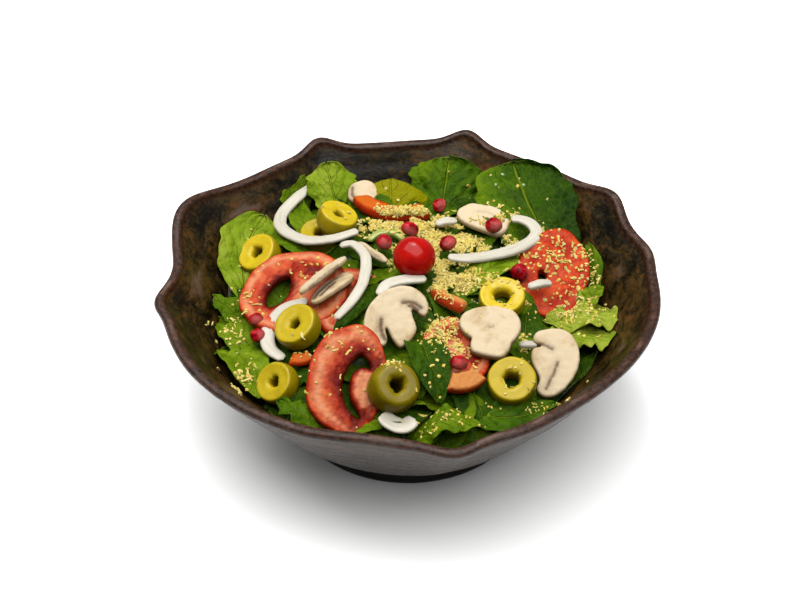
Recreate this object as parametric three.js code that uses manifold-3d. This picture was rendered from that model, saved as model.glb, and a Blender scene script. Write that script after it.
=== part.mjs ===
// Arugula salad in a hand-built stoneware bowl. Millimetres, +Z up.
// The origin is the middle of the foot's underside, on the table; +Y is the back of the bowl.
import * as THREE from 'three';
import { mergeVertices } from 'three/addons/utils/BufferGeometryUtils.js';
import Module from 'manifold-3d';

const wasm = await Module();
wasm.setup();

// ---------- driving dimensions ----------

const clearance = 0.45; // air between any two pieces
const wallClearance = 0.65; // air between the salad and the bowl's wall
const radians = Math.PI / 180;
const goldenTurn = 137.5; // degrees; spreads scattered things evenly

const bowl = {
  sides: 50,
  footRadius: 59.5,
  footRing: 6.5, // how wide the ring is that touches the table
  footHeight: 7,
  footRecess: 4, // the underside inside the ring sits this high
  recessSlope: 2,
  wallFoot: 58.5, // where the wall leaves the foot
  reach: 119.5, // mean radius of the rim
  height: 80.3, // mean height of the rim
  lip: 5.5, // thickness of the rim
  lipRound: 2.5, // drop from the top of the lip to its sides
  floorRadius: 50,
  floorHeight: 12,
  floorDome: 1,
  curve: 0.8, // wall radius grows with this power of the height
  lean: 3, // the rim's middle sits this far behind the foot's
};

// Where the potter drew the rim out and up into corners, or pressed it in. Angles run
// counter-clockwise from +X in degrees, seen from above; out and up are in millimetres.
const rimBends = [
  { at: 10, out: 2.5, up: 0.5, wide: 6 },
  { at: 31, out: 5, up: 4, wide: 7 },
  { at: 58, out: -3.5, up: 1, wide: 10 },
  { at: 75, out: 5.5, up: 4, wide: 5 },
  { at: 96, out: -5, up: 0.5, wide: 14 },
  { at: 113, out: 4.5, up: 4, wide: 5 },
  { at: 130, out: -4, up: 1.5, wide: 13 },
  { at: 155, out: 8, up: 5, wide: 11 },
  { at: 176, out: -3.5, up: 0, wide: 8 },
  { at: 188, out: 4, up: 0, wide: 5 },
  { at: 214, out: 2.5, up: 0, wide: 22 },
  { at: 260, out: -1, up: 2, wide: 10 },
  { at: 280, out: 5.5, up: -1, wide: 6 },
  { at: 294, out: 1.5, up: 0, wide: 8 },
  { at: 346, out: 4, up: 0, wide: 22 },
];

// The heap of greens: steep towards the front and the sides, gentle towards the back.
const mound = { top: 75, middleY: 15, fall: 0.0027, fallBehind: 0.001 };
const core = { sides: 20, under: 3.5, gap: 1.6, bump: 1.2, stemDepth: 3 };
const leafBlade = { thick: 1.2, edge: 0.7, fullness: 0.6, waves: 13, waveShift: 1.3, broad: 22 };

const colours = {
  glaze: 0x2e2723,
  leaf: 0x3f7a22,
  olive: 0xb5a51c,
  tomato: 0xd0412a,
  cherry: 0xc01512,
  onion: 0xe9e6dc,
  mushroom: 0xdcc79c,
  aril: 0x9c1230,
  pale: 0xa3b35a,
};

// ---------- the salad's pieces ----------

// at: middle of the piece. lean: degrees its face tips from straight up, towards the plan
// angle in toward. spin: its turn about its own face, before it tips.
const olives = {
  olive_left: { at: [-75, 40, 64], lean: 33, toward: 210, radius: 11, hole: 3.2, thick: 9 },
  olive_back_low: { at: [-45, 50, 69], lean: 5, toward: 270, radius: 10.2, hole: 3, thick: 7 },
  olive_back: { at: [-36, 52, 78], lean: 20, toward: 5, radius: 10.4, hole: 2.6, thick: 9 },
  olive_mid_left: { at: [-53, -23, 70], lean: 30, toward: 210, radius: 11.4, hole: 2.8, thick: 9 },
  olive_front_left: { at: [-62, -50, 58], lean: 42, toward: 219, radius: 10.2, hole: 2.8, thick: 8.5 },
  olive_whole: { at: [-7, -62, 66], lean: 39, toward: 294, radius: 12.2, hole: 4.2, thick: 19 },
  olive_ring_right: { at: [46, -3, 71.5], lean: 12, toward: 270, radius: 11.5, hole: 4.6, thick: 7 },
  olive_front_right: { at: [49, -52, 61], lean: 26, toward: 270, radius: 11.8, hole: 4.2, thick: 9 },
};

// pockets: seed chambers cut through the slice, as angle, half-angle and radii from 0 to 1.
const tomatoSlices = {
  tomato_left_low: {
    at: [-27, -3, 67], lean: 12, toward: 300, spin: 0, wide: 42, long: 44, thick: 5,
    pockets: [{ at: 60, half: 26, from: 0.35, to: 0.72 }],
  },
  tomato_left: {
    at: [-56, 4, 69], lean: 14, toward: 240, spin: 20, wide: 54, long: 50, thick: 5,
    pockets: [{ at: 140, half: 34, from: 0.32, to: 0.74 }],
  },
  tomato_centre: {
    at: [23, -36, 65.5], lean: 22, toward: 275, spin: 30, wide: 32, long: 36, thick: 5, crumbs: 4,
    pockets: [{ at: 200, half: 26, from: 0.36, to: 0.7 }],
  },
  tomato_right: {
    at: [72, 22, 65.5], lean: 26, toward: 285, spin: -12, wide: 36, long: 50, thick: 8, crumbs: 5,
    pockets: [{ at: 200, half: 40, from: 0.1, to: 0.6 }],
  },
  tomato_front: {
    at: [-29, -54, 65], lean: 33, toward: 287, spin: -12, wide: 37, long: 53, thick: 6,
    pockets: [{ at: 150, half: 80, from: 0.3, to: 0.66 }],
  },
};

// Curved pieces of tomato: skin on the outside, flesh on the inside.
const tomatoWedges = {
  tomato_back: {
    at: [-11, 64, 73], lean: 10, toward: 100, spin: -115, radius: 27, wide: 15, span: 96, thick: 6, crumbs: 3,
  },
  tomato_band: {
    at: [18, -9, 76], lean: 30, toward: 60, spin: -150, radius: 26, wide: 7, span: 66, thick: 6,
  },
  tomato_chunk: {
    at: [27, -56, 64], lean: 30, toward: 285, spin: -70, radius: 17, wide: 11, span: 62, thick: 7,
  },
  tomato_scrap: {
    at: [-51, -38, 62.5], lean: 20, toward: 270, spin: -80, radius: 14, wide: 6, span: 52, thick: 4,
  },
};

// line: the middle of the strip, from end to end. wide across, tall upwards.
const onions = {
  onion_back_left: {
    line: [
      [-45, 94, 71], [-56, 83, 70], [-65, 69, 68], [-64, 54, 70], [-52, 41, 73], [-38, 37, 77], [-25, 41, 79],
    ],
    wide: 5.4, tall: 3.2, steps: 11,
  },
  onion_middle: {
    line: [[-34, 29, 79], [-27, 28, 80.5], [-21, 16, 81.5], [-22, -1, 80], [-28, -14, 77.5], [-35, -22, 74.5]],
    wide: 4.6, tall: 3, steps: 9,
  },
  onion_right: {
    line: [
      [52.2, 51.4, 78.5], [57.3, 51, 78.5], [62.2, 47.9, 78], [64.8, 41.8, 77], [61.2, 35.1, 76.5],
      [51.8, 27.6, 77], [39.2, 21.6, 78], [28.6, 18.1, 79.5], [19.7, 17.4, 81],
    ],
    wide: 5.6, tall: 3.2, steps: 13,
  },
  onion_front_of_cherry: {
    line: [[9, 1, 80.5], [-2, 0, 80.5], [-10, -3, 80], [-14, -10, 79]], wide: 4.8, tall: 3, steps: 6,
  },
  onion_left: {
    line: [[-49, -6, 72.5], [-61, -8, 68], [-67.5, -18, 63.5], [-67, -28, 61.5], [-60, -36, 61]],
    wide: 6.4, tall: 3, steps: 8,
  },
  onion_bit_right: { line: [[53, -32, 66.5], [58, -31, 66], [62, -30, 65]], wide: 4, tall: 3, steps: 3 },
  onion_bit_back_right: { line: [[59, 6, 71], [65, 8, 71.5], [71, 10, 70.5]], wide: 5, tall: 3.4, steps: 4 },
  onion_front: {
    line: [[-12, -72, 60], [-9, -78, 57.5], [-3, -79, 57], [3, -74, 58.5]], wide: 5.4, tall: 4, steps: 6,
  },
  onion_bit_back: { line: [[14, 48, 77.5], [19, 50, 78], [25, 51, 77.5]], wide: 5, tall: 3, steps: 4 },
  pepper_arc: {
    line: [[-20, 36, 76.5], [-14, 41, 77.5], [-7, 41, 77.5], [-2, 36, 77.5]], wide: 4.4, tall: 3.4, steps: 6,
    colour: 'pale',
  },
};

// Slices through a cap and its stem. cap: width and height; stem: width and length.
const mushrooms = {
  mushroom_strip_low: {
    at: [-37.5, -1, 76], lean: 38, toward: 142, spin: 52, cap: [24, 8], stem: [9, 2], thick: 3,
  },
  mushroom_strip: {
    at: [-42, 4, 80.5], lean: 38, toward: 142, spin: 52, cap: [34, 8], stem: [9, 2], thick: 3.2,
  },
  mushroom_edge: {
    at: [-18, 27, 78.5], lean: 60, toward: 215, spin: 0, cap: [17, 6], stem: [6, 3], thick: 2.4,
  },
  mushroom_back_left: {
    at: [-25, 86, 71], lean: 24, toward: 265, spin: 10, cap: [19, 12], stem: [8, 6], thick: 4.5,
  },
  mushroom_back: {
    at: [39, 60, 74.5], lean: 12, toward: 280, spin: 185, cap: [30, 14], stem: [10, 9], thick: 3.6,
  },
  mushroom_right: {
    at: [70, -37, 61.5], lean: 28, toward: 275, spin: -98, cap: [38, 17], stem: [15, 10], thick: 5,
  },
  mushroom_centre_right: {
    at: [39, -28, 75.5], lean: 24, toward: 265, spin: 0, cap: [31, 17], stem: [20, 15], thick: 5,
  },
  mushroom_centre: {
    at: [-6, -23, 80], lean: 30, toward: 280, spin: 35, cap: [31, 16], stem: [12, 15], thick: 5,
  },
};

const arils = {
  aril_left_upper: { at: [-74, -11, 64.5], size: [8.4, 7.6, 7.2], spin: 20 },
  aril_left_lower: { at: [-73, -21, 63], size: [7.2, 7.6, 6.8], spin: 70 },
  aril_middle: { at: [-12, 29.5, 81], size: [8, 9.4, 7.6], spin: 10 },
  aril_behind_cherry: { at: [1, 42, 79.5], size: [9.4, 7.4, 7], spin: 0 },
  aril_cherry_right: { at: [19.5, 28, 81.5], size: [9.4, 8.2, 7.6], spin: 40 },
  aril_on_mushroom: { at: [43, 45, 79.5], size: [8.6, 9.4, 8], spin: 30 },
  aril_right: { at: [55, 15, 73.5], size: [8.4, 9.6, 8], spin: 105 },
  aril_front: { at: [24, -49, 70.5], size: [9.6, 7.4, 7], spin: 15 },
  aril_back: { at: [16, 68, 74.5], size: [8, 7, 6.8], spin: 50 },
};

const cherryTomato = { at: [3, 12, 85.2], radius: 10.4 };

// midrib: base, middle and tip of the leaf. wide: across its broadest place. roll lifts the
// edge on its right-hand side, peak is where along the leaf it is widest, cup bends it across,
// ruffle waves its edge, and a low fullness makes its tip blunt.
const leaves = [
  {
    midrib: [[90, 8, 58], [66, 55, 73], [55, 98, 80]],
    wide: 50, roll: 10, peak: 0.72, cup: 0.1, ruffle: 1.5, fullness: 0.38,
  },
  {
    midrib: [[17, 74, 60], [20, 94, 71], [22, 106, 77]],
    wide: 38, roll: 0, peak: 0.6, cup: -0.15, ruffle: 2, fullness: 0.42,
  },
  { midrib: [[-4, 70, 62], [-5, 82, 69], [-6, 93, 73]], wide: 32, roll: 0, peak: 0.5, cup: -0.3, ruffle: 0.5 },
  { midrib: [[-34, 68, 60], [-39, 86, 70], [-43, 101, 77]], wide: 27, roll: 0, peak: 0.6, cup: 0.1, ruffle: 1.5 },
  { midrib: [[-50, 70, 60], [-59, 85, 67], [-56, 98, 74]], wide: 17, roll: -10, peak: 0.55, cup: 0.1, ruffle: 1 },
  {
    midrib: [[-78, 8, 56], [-83, 38, 62], [-74, 65, 70]],
    wide: 30, roll: -18, peak: 0.66, cup: 0.1, ruffle: 1.5, fullness: 0.45,
  },
  { midrib: [[-74, -8, 60], [-88, 4, 59], [-98, 12, 60]], wide: 14, roll: 0, peak: 0.4, cup: 0.1, ruffle: 1 },
  { midrib: [[-70, -28, 60], [-83, -13, 57], [-95, 1, 54]], wide: 17, roll: 10, peak: 0.45, cup: 0.1, ruffle: 1 },
  { midrib: [[-93, -10, 56], [-80, -31, 58], [-71, -56, 54]], wide: 24, roll: 12, peak: 0.4, cup: 0.15, ruffle: 1.2 },
  { midrib: [[-33, -78, 53], [-48, -72, 57], [-61, -62, 57]], wide: 15, roll: 0, peak: 0.5, cup: 0.1, ruffle: 2 },
  { midrib: [[-49, -40, 60], [-51, -53, 57], [-56, -63, 52]], wide: 13, roll: 10, peak: 0.5, cup: 0.1, ruffle: 1 },
  { midrib: [[-1, -81, 55], [15, -78, 61], [34, -76, 55]], wide: 20, roll: 8, peak: 0.5, cup: -0.1, ruffle: 2 },
  { midrib: [[32, -59, 57], [47, -69, 54], [71, -57, 52]], wide: 22, roll: -6, peak: 0.5, cup: 0.15, ruffle: 1 },
  { midrib: [[67, -4, 63], [86, -4, 62], [101, 2, 59]], wide: 28, roll: 5, peak: 0.6, cup: 0.1, ruffle: 3 },
  { midrib: [[70, -24, 60], [87, -22, 58], [99, -20, 56]], wide: 26, roll: 8, peak: 0.55, cup: 0.1, ruffle: 3 },
  { midrib: [[80, -4, 61], [90, 6, 64], [96, 12, 67]], wide: 10, roll: 0, peak: 0.4, cup: 0.1, ruffle: 0.5 },
  { midrib: [[77, -50, 52], [90, -36, 52], [98, -18, 53]], wide: 18, roll: 0, peak: 0.5, cup: 0.1, ruffle: 1 },
  { midrib: [[2, -18, 77], [9, -44, 72], [15, -66, 60]], wide: 20, roll: 8, peak: 0.5, cup: 0.2, ruffle: 0.5 },
  { midrib: [[-10, -30, 73], [-1, -48, 68], [6, -63, 60]], wide: 16, roll: -20, peak: 0.5, cup: 0.1, ruffle: 0.5 },
  { midrib: [[-9, 12, 77], [-22, -10, 77], [-36, -28, 70]], wide: 9, roll: 20, peak: 0.5, cup: -0.3, ruffle: 0.3 },
  { midrib: [[22, 2, 77], [38, 13, 76], [55, 29, 71]], wide: 17, roll: 0, peak: 0.5, cup: 0.1, ruffle: 0.6 },
  { midrib: [[-40, 48, 69], [-53, 62, 67], [-57, 83, 67]], wide: 14, roll: 0, peak: 0.5, cup: 0.1, ruffle: 1.5 },
  { midrib: [[-42, 35, 71], [-56, 41, 69], [-68, 53, 66]], wide: 12, roll: 0, peak: 0.5, cup: 0.1, ruffle: 0.8 },
  { midrib: [[88, -2, 60], [93, 22, 63], [91, 44, 68]], wide: 11, roll: 35, peak: 0.5, cup: 0.1, ruffle: 1 },
];

// Smaller leaves that fill the heap between the ones above.
const fillers = { count: 6, wide: 16, long: 34, inner: 30, outer: 80, seed: 7 };

// Grated crumbs that are large enough to be solid.
const crumb = { count: 20, size: 3.4, seed: 11, reachX: 80, reachY: 70, middle: [5, 5] };

// ---------- small helpers ----------

function seeded(seed) {
  let state = seed;
  return () => {
    state = (state * 1103515245 + 12345) % 2147483648;
    return state / 2147483648;
  };
}

function ringPoint(angle, radius, z, shiftY = 0) {
  return [radius * Math.cos(angle * radians), shiftY + radius * Math.sin(angle * radians), z];
}

function moundHeight(x, y) {
  const fall = y < mound.middleY ? mound.fall : mound.fallBehind;
  return mound.top - mound.fall * x * x - fall * (y - mound.middleY) ** 2;
}

function geometryFrom(points, faces) {
  const geometry = new THREE.BufferGeometry();
  geometry.setAttribute('position', new THREE.Float32BufferAttribute(points.flat(), 3));
  geometry.setIndex(faces.flat());
  return geometry;
}

function solidFrom(geometry) {
  const bare = geometry.clone();
  bare.deleteAttribute('normal');
  bare.deleteAttribute('uv');
  const welded = mergeVertices(bare, 1e-4);
  const vertProperties = Float32Array.from(welded.attributes.position.array);
  const triVerts = Uint32Array.from(welded.index.array);
  return new wasm.Manifold(new wasm.Mesh({ numProp: 3, vertProperties, triVerts }));
}

function geometryOf(solid) {
  const mesh = solid.getMesh();
  const geometry = new THREE.BufferGeometry();
  geometry.setAttribute('position', new THREE.BufferAttribute(Float32Array.from(mesh.vertProperties), 3));
  geometry.setIndex(Array.from(mesh.triVerts));
  return geometry;
}

function largestBody(solid) {
  return solid.decompose().sort((a, b) => b.volume() - a.volume())[0];
}

// Tips a flat piece over, then moves it to its place.
function settle(geometry, { at, lean = 0, toward = 0, spin = 0 }) {
  const axis = new THREE.Vector3(-Math.sin(toward * radians), Math.cos(toward * radians), 0);
  const turn = new THREE.Matrix4().makeRotationAxis(axis, lean * radians);
  turn.multiply(new THREE.Matrix4().makeRotationZ(spin * radians));
  turn.setPosition(...at);
  return geometry.applyMatrix4(turn);
}

// A closed solid through rings of points. Its first and last rings are closed by a fan to
// their middle, unless a pole is given.
function loft(rings, firstPole, lastPole) {
  const sides = rings[0].length;
  const points = rings.flat();
  const faces = [];
  for (let row = 0; row + 1 < rings.length; row += 1) {
    for (let side = 0; side < sides; side += 1) {
      const next = (side + 1) % sides;
      const a = row * sides + side;
      const b = row * sides + next;
      faces.push([a, b, b + sides], [a, b + sides, a + sides]);
    }
  }
  const first = points.push(firstPole) - 1;
  const last = points.push(lastPole) - 1;
  const top = (rings.length - 1) * sides;
  for (let side = 0; side < sides; side += 1) {
    const next = (side + 1) % sides;
    faces.push([first, next, side], [last, top + side, top + next]);
  }
  return geometryFrom(points, faces);
}

// ---------- bowl ----------

function rimAt(angle) {
  let reach = bowl.reach;
  let height = bowl.height;
  for (const bend of rimBends) {
    const turn = ((angle - bend.at + 540) % 360) - 180;
    const share = Math.exp(-((turn / bend.wide) ** 2));
    reach += bend.out * share;
    height += bend.up * share;
  }
  return { reach, height };
}

// rise runs from 0 at the wall's bottom to 1 at its top; the bends fade towards the bottom.
function wallPoint(angle, rise, inside, grow = 0) {
  const rim = rimAt(angle);
  const bottom = inside ? bowl.floorHeight : bowl.footHeight;
  const start = inside ? bowl.floorRadius : bowl.wallFoot;
  const top = bowl.reach - (inside ? bowl.lip : 0);
  const radius = start + (top - start) * rise ** bowl.curve + (rim.reach - bowl.reach) * rise ** 2;
  const z = bottom + (rim.height - bowl.lipRound - bottom) * rise;
  return ringPoint(angle, radius - grow, z + (inside ? grow : 0), bowl.lean * rise);
}

function lipPoint(angle, inwards) {
  const rim = rimAt(angle);
  return ringPoint(angle, rim.reach - inwards, rim.height, bowl.lean);
}

function around(sides, pointAt) {
  return Array.from({ length: sides }, (_, side) => pointAt((360 * side) / sides));
}

const outerRises = [0, 0.12, 0.36, 0.68, 1];
const innerRises = [1, 0.7, 0.42, 0.18, 0.03];

function bowlGeometry() {
  const { sides, footRadius, footRing, footRecess, recessSlope } = bowl;
  const ringInside = footRadius - footRing;
  const rings = [
    around(sides, (angle) => ringPoint(angle, ringInside - recessSlope, footRecess)),
    around(sides, (angle) => ringPoint(angle, ringInside, 0)),
    around(sides, (angle) => ringPoint(angle, footRadius, 0)),
    ...outerRises.map((rise) => around(sides, (angle) => wallPoint(angle, rise, false))),
    around(sides, (angle) => lipPoint(angle, bowl.lip * 0.3)),
    around(sides, (angle) => lipPoint(angle, bowl.lip * 0.7)),
    ...innerRises.map((rise) => around(sides, (angle) => wallPoint(angle, rise, true))),
  ];
  const floor = [0, 0, bowl.floorHeight + bowl.floorDome];
  return loft(rings, [0, 0, footRecess], floor);
}

// The room inside the bowl, kept clear of its wall, and carried on above the rim.
function cavitySolid() {
  const above = bowl.height + 30;
  const rises = [...innerRises].reverse();
  const wallRing = (rise) => around(bowl.sides, (angle) => wallPoint(angle, rise, true, wallClearance));
  const rings = rises.map(wallRing);
  rings.push(around(bowl.sides, (angle) => {
    const [x, y] = wallPoint(angle, 1, true, wallClearance);
    return [x, y, above];
  }));
  const floor = bowl.floorHeight + bowl.floorDome;
  return solidFrom(loft(rings, [0, 0, floor + wallClearance], [0, 0, above]));
}

// ---------- greens ----------

function coreHeight(x, y) {
  return moundHeight(x, y) - core.under + core.bump * Math.sin(x * 0.21 + 1) * Math.cos(y * 0.19);
}

// The heap's bare middle: it meets the wall low at the front, higher at the sides and the back.
function coreGeometry() {
  const edgeRise = (angle) => {
    const [across, back] = ringPoint(angle, 1, 0);
    return 0.5 + 0.1 * Math.abs(across) + 0.2 * Math.max(0, back);
  };
  const wallRing = (share) => around(core.sides, (angle) => (
    wallPoint(angle, edgeRise(angle) * share, true, core.gap)
  ));
  const topRing = (share) => around(core.sides, (angle) => {
    const [x, y] = wallPoint(angle, edgeRise(angle), true, core.gap);
    return [x * share, y * share, coreHeight(x * share, y * share)];
  });
  const rings = [wallRing(0.1), wallRing(0.45), wallRing(1), topRing(0.85), topRing(0.58), topRing(0.3)];
  return loft(rings, [0, 0, bowl.floorHeight + bowl.floorDome + core.gap], [0, 0, coreHeight(0, 0)]);
}

// The line of the midrib. Every leaf's stem starts inside the heap.
function midribPoint([base, middle, tip], along) {
  const root = Math.min(base[2], coreHeight(base[0], base[1]) - core.stemDepth);
  const a = (1 - along) * (1 - 2 * along);
  const b = 4 * along * (1 - along);
  const c = along * (2 * along - 1);
  return new THREE.Vector3(
    base[0] * a + middle[0] * b + tip[0] * c,
    base[1] * a + middle[1] * b + tip[1] * c,
    root * a + middle[2] * b + tip[2] * c,
  );
}

// A point of the leaf and its face's direction; along runs 0..1, across runs -1..1.
function leafFrame(leaf, along, across) {
  const step = 0.01;
  const ahead = midribPoint(leaf.midrib, along + step);
  const behind = midribPoint(leaf.midrib, along - step);
  const forward = ahead.sub(behind).normalize();
  const side = new THREE.Vector3(forward.y, -forward.x, 0).normalize();
  const face = new THREE.Vector3().crossVectors(side, forward).normalize();
  side.applyAxisAngle(forward, -leaf.roll * radians);
  face.applyAxisAngle(forward, -leaf.roll * radians);
  const swell = Math.sin(Math.PI * along ** (Math.log(0.5) / Math.log(leaf.peak)));
  const { edge, waves, waveShift } = leafBlade;
  const fullness = leaf.fullness ?? leafBlade.fullness;
  const halfWidth = Math.max(edge, (leaf.wide / 2) * Math.max(0, swell) ** fullness);
  const wave = leaf.ruffle * Math.sin(waves * along + (across > 0 ? waveShift : 0)) * Math.abs(across) ** 1.5;
  const lift = leaf.cup * halfWidth * across * across + wave;
  const point = midribPoint(leaf.midrib, along);
  point.addScaledVector(side, halfWidth * across).addScaledVector(face, lift);
  return { point, face };
}

function leafGeometry(leaf, rows, columns) {
  const points = [];
  for (const layer of [0.5, -0.5]) {
    for (let row = 0; row <= rows; row += 1) {
      for (let column = 0; column <= columns; column += 1) {
        const { point, face } = leafFrame(leaf, row / rows, (2 * column) / columns - 1);
        points.push(point.addScaledVector(face, layer * leafBlade.thick).toArray());
      }
    }
  }
  const layerSize = (rows + 1) * (columns + 1);
  const at = (row, column) => row * (columns + 1) + column;
  const faces = [];
  for (let row = 0; row < rows; row += 1) {
    for (let column = 0; column < columns; column += 1) {
      const corners = [at(row, column), at(row, column + 1), at(row + 1, column + 1), at(row + 1, column)];
      const [a, b, c, d] = corners;
      const [e, f, g, h] = corners.map((corner) => corner + layerSize);
      faces.push([a, b, c], [a, c, d], [e, g, f], [e, h, g]);
    }
  }
  const rim = [];
  for (let column = 0; column < columns; column += 1) rim.push(at(0, column));
  for (let row = 0; row < rows; row += 1) rim.push(at(row, columns));
  for (let column = columns; column > 0; column -= 1) rim.push(at(rows, column));
  for (let row = rows; row > 0; row -= 1) rim.push(at(row, 0));
  rim.forEach((a, i) => {
    const b = rim[(i + 1) % rim.length];
    faces.push([a, a + layerSize, b + layerSize], [a, b + layerSize, b]);
  });
  return geometryFrom(points, faces);
}

function fillerLeaves() {
  const random = seeded(fillers.seed);
  return Array.from({ length: fillers.count }, (_, i) => {
    const angle = i * goldenTurn + 20 * random();
    const radius = fillers.inner + (fillers.outer - fillers.inner) * Math.sqrt((i + 0.5) / fillers.count);
    const [x, y] = ringPoint(angle, radius, 0);
    const heading = angle + 60 * (random() - 0.5);
    const midrib = [-0.5, 0, 0.5].map((share) => {
      const [dx, dy] = ringPoint(heading, fillers.long * share, 0);
      return [x + dx, y + dy, moundHeight(x + dx, y + dy) - 1 + 3 * share];
    });
    return { midrib, wide: fillers.wide, roll: 20 * (random() - 0.5), peak: 0.5, cup: 0.1, ruffle: 1.5 };
  });
}

// Crumbs dropped from above until they lie half sunk on the solid under them.
function sprinkle(solid, { count, seed, reachX, reachY, middle, grow = 0 }) {
  const random = seeded(seed);
  const target = new THREE.Mesh(geometryOf(solid), new THREE.MeshBasicMaterial({ side: THREE.DoubleSide }));
  const ray = new THREE.Raycaster();
  const down = new THREE.Vector3(0, 0, -1);
  let result = solid;
  for (let i = 0; i < count; i += 1) {
    const angle = i * goldenTurn;
    const share = Math.sqrt((i + 0.5) / count);
    const x = middle[0] + reachX * share * Math.cos(angle * radians) + 2 * random();
    const y = middle[1] + reachY * share * Math.sin(angle * radians) + 2 * random();
    const size = crumb.size * (0.8 + 0.4 * random());
    const spin = 180 * random();
    const lean = 30 * random();
    ray.set(new THREE.Vector3(x, y, 200), down);
    const hit = ray.intersectObject(target)[0];
    if (!hit) continue;
    const shape = new THREE.BoxGeometry(size + 2 * grow, size * 0.6 + 2 * grow, size * 0.5 + 2 * grow);
    settle(shape, { at: [x, y, hit.point.z + size * 0.1], lean, toward: 2 * spin, spin });
    result = result.add(solidFrom(shape));
  }
  return result;
}

function greensSolid(cutters) {
  let solid = solidFrom(coreGeometry());
  const heap = [...leaves, ...fillerLeaves()];
  heap.forEach((leaf) => {
    const [rows, columns] = leaf.wide > leafBlade.broad ? [5, 3] : [4, 2];
    solid = solid.add(solidFrom(leafGeometry(leaf, rows, columns)));
  });
  solid = sprinkle(solid, crumb);
  for (const cutter of cutters) solid = solid.subtract(cutter);
  return largestBody(solid.intersect(cavitySolid()));
}

// ---------- toppings ----------

// Each maker takes a grow. Above 0 it gives a plain, fatter shape that holds the piece.

// How much larger a plain outline with few sides is, so that it holds a round one.
function holding(sides) {
  return 1 / Math.cos(Math.PI / sides);
}

function oliveGeometry(piece, grow) {
  const outer = piece.radius + grow;
  const half = piece.thick / 2 + grow;
  if (grow > 0) {
    const sleeve = new THREE.CylinderGeometry(outer * holding(9), outer * holding(9), 2 * half, 9);
    return settle(sleeve.rotateX(Math.PI / 2), piece);
  }
  const { hole } = piece;
  const shoulder = outer * Math.sqrt(Math.max(0.35, 1 - (half / (outer * 1.25)) ** 2));
  const profile = [
    [hole, -half * 0.85], [shoulder * 0.92, -half], [outer, 0], [shoulder * 0.92, half],
    [hole, half * 0.85], [hole, -half * 0.85],
  ];
  const lathe = new THREE.LatheGeometry(profile.map(([r, z]) => new THREE.Vector2(r, z)), 12);
  return settle(lathe.rotateX(Math.PI / 2), piece);
}

const lobes = { count: 5, deep: 0.025 };

function sliceShape(piece, grow) {
  const shape = new THREE.Shape();
  const sides = grow > 0 ? 12 : 20;
  const outline = Array.from({ length: sides }, (_, i) => {
    const angle = (2 * Math.PI * i) / sides;
    const wave = lobes.deep * Math.cos(lobes.count * angle + piece.wide);
    const lobe = grow > 0 ? (1 + lobes.deep) * holding(sides) : 1 + wave;
    return new THREE.Vector2(
      (piece.wide / 2) * lobe * Math.cos(angle) + grow * Math.cos(angle),
      (piece.long / 2) * lobe * Math.sin(angle) + grow * Math.sin(angle),
    );
  });
  shape.setFromPoints(outline);
  if (grow === 0) piece.pockets.forEach((pocket) => shape.holes.push(pocketPath(piece, pocket)));
  return shape;
}

function pocketPath(piece, { at, half, from, to }) {
  const point = (angle, share) => new THREE.Vector2(
    (piece.wide / 2) * share * Math.cos(angle * radians),
    (piece.long / 2) * share * Math.sin(angle * radians),
  );
  const turns = Math.max(3, Math.round(half / 14));
  const outer = Array.from({ length: turns + 1 }, (_, i) => point(at - half + (2 * half * i) / turns, to));
  const inner = Array.from({ length: turns + 1 }, (_, i) => point(at + half - (2 * half * i) / turns, from));
  return new THREE.Path().setFromPoints([...outer, ...inner]);
}

function extrude(shape, thick, curveSegments = 3) {
  const geometry = new THREE.ExtrudeGeometry(shape, { depth: thick, bevelEnabled: false, curveSegments });
  return geometry.translate(0, 0, -thick / 2);
}

function tomatoSliceGeometry(piece, grow) {
  return settle(extrude(sliceShape(piece, grow), piece.thick + 2 * grow), piece);
}

// An arc of tomato; its own middle is the middle of the arc.
function tomatoWedgeGeometry(piece, grow) {
  const half = (piece.span / 2) * radians + grow / piece.radius;
  const segments = grow > 0 ? 3 : 7;
  const outer = (piece.radius + grow) * (grow > 0 ? 1 / Math.cos(half / segments) : 1);
  const inner = piece.radius - piece.wide - grow;
  const shape = new THREE.Shape();
  shape.absarc(0, 0, outer, -half, half, false);
  shape.absarc(0, 0, inner, half, -half, true);
  const geometry = extrude(shape, piece.thick + 2 * grow, segments);
  geometry.translate(-(piece.radius - piece.wide / 2), 0, 0);
  return settle(geometry, piece);
}

function mushroomShape(piece, grow) {
  const [w, top] = piece.cap.map((size) => size / 2);
  const s = piece.stem[0] / 2;
  const brim = -top * 0.75;
  const gill = -top * 0.3;
  const foot = -top * 0.2 - piece.stem[1];
  const shape = new THREE.Shape();
  if (grow > 0) {
    const outline = [
      [s + grow, Math.min(foot, brim) - grow], [w + grow, brim * 1.1 - grow], [w * 1.03 + grow, 0],
      [w * 0.65 + grow, top + grow],
    ];
    const mirrored = outline.map(([x, y]) => [-x, y]).reverse();
    return shape.setFromPoints([...outline, ...mirrored].map((point) => new THREE.Vector2(...point)));
  }
  shape.moveTo(-s * 0.85, foot);
  shape.lineTo(s * 0.85, foot);
  shape.lineTo(s, (foot + gill) / 2);
  shape.lineTo(s * 0.95, gill);
  shape.quadraticCurveTo(w * 0.62, brim * 1.1, w * 0.86, brim);
  shape.quadraticCurveTo(w * 1.08, brim * 0.5, w * 0.98, top * 0.1);
  shape.bezierCurveTo(w * 0.8, top * 1.2, -w * 0.8, top * 1.2, -w * 0.98, top * 0.1);
  shape.quadraticCurveTo(-w * 1.08, brim * 0.5, -w * 0.86, brim);
  shape.quadraticCurveTo(-w * 0.62, brim * 1.1, -s * 0.95, gill);
  shape.lineTo(-s, (foot + gill) / 2);
  shape.closePath();
  return shape;
}

function mushroomGeometry(piece, grow) {
  return settle(extrude(mushroomShape(piece, grow), piece.thick + 2 * grow), piece);
}

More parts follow.
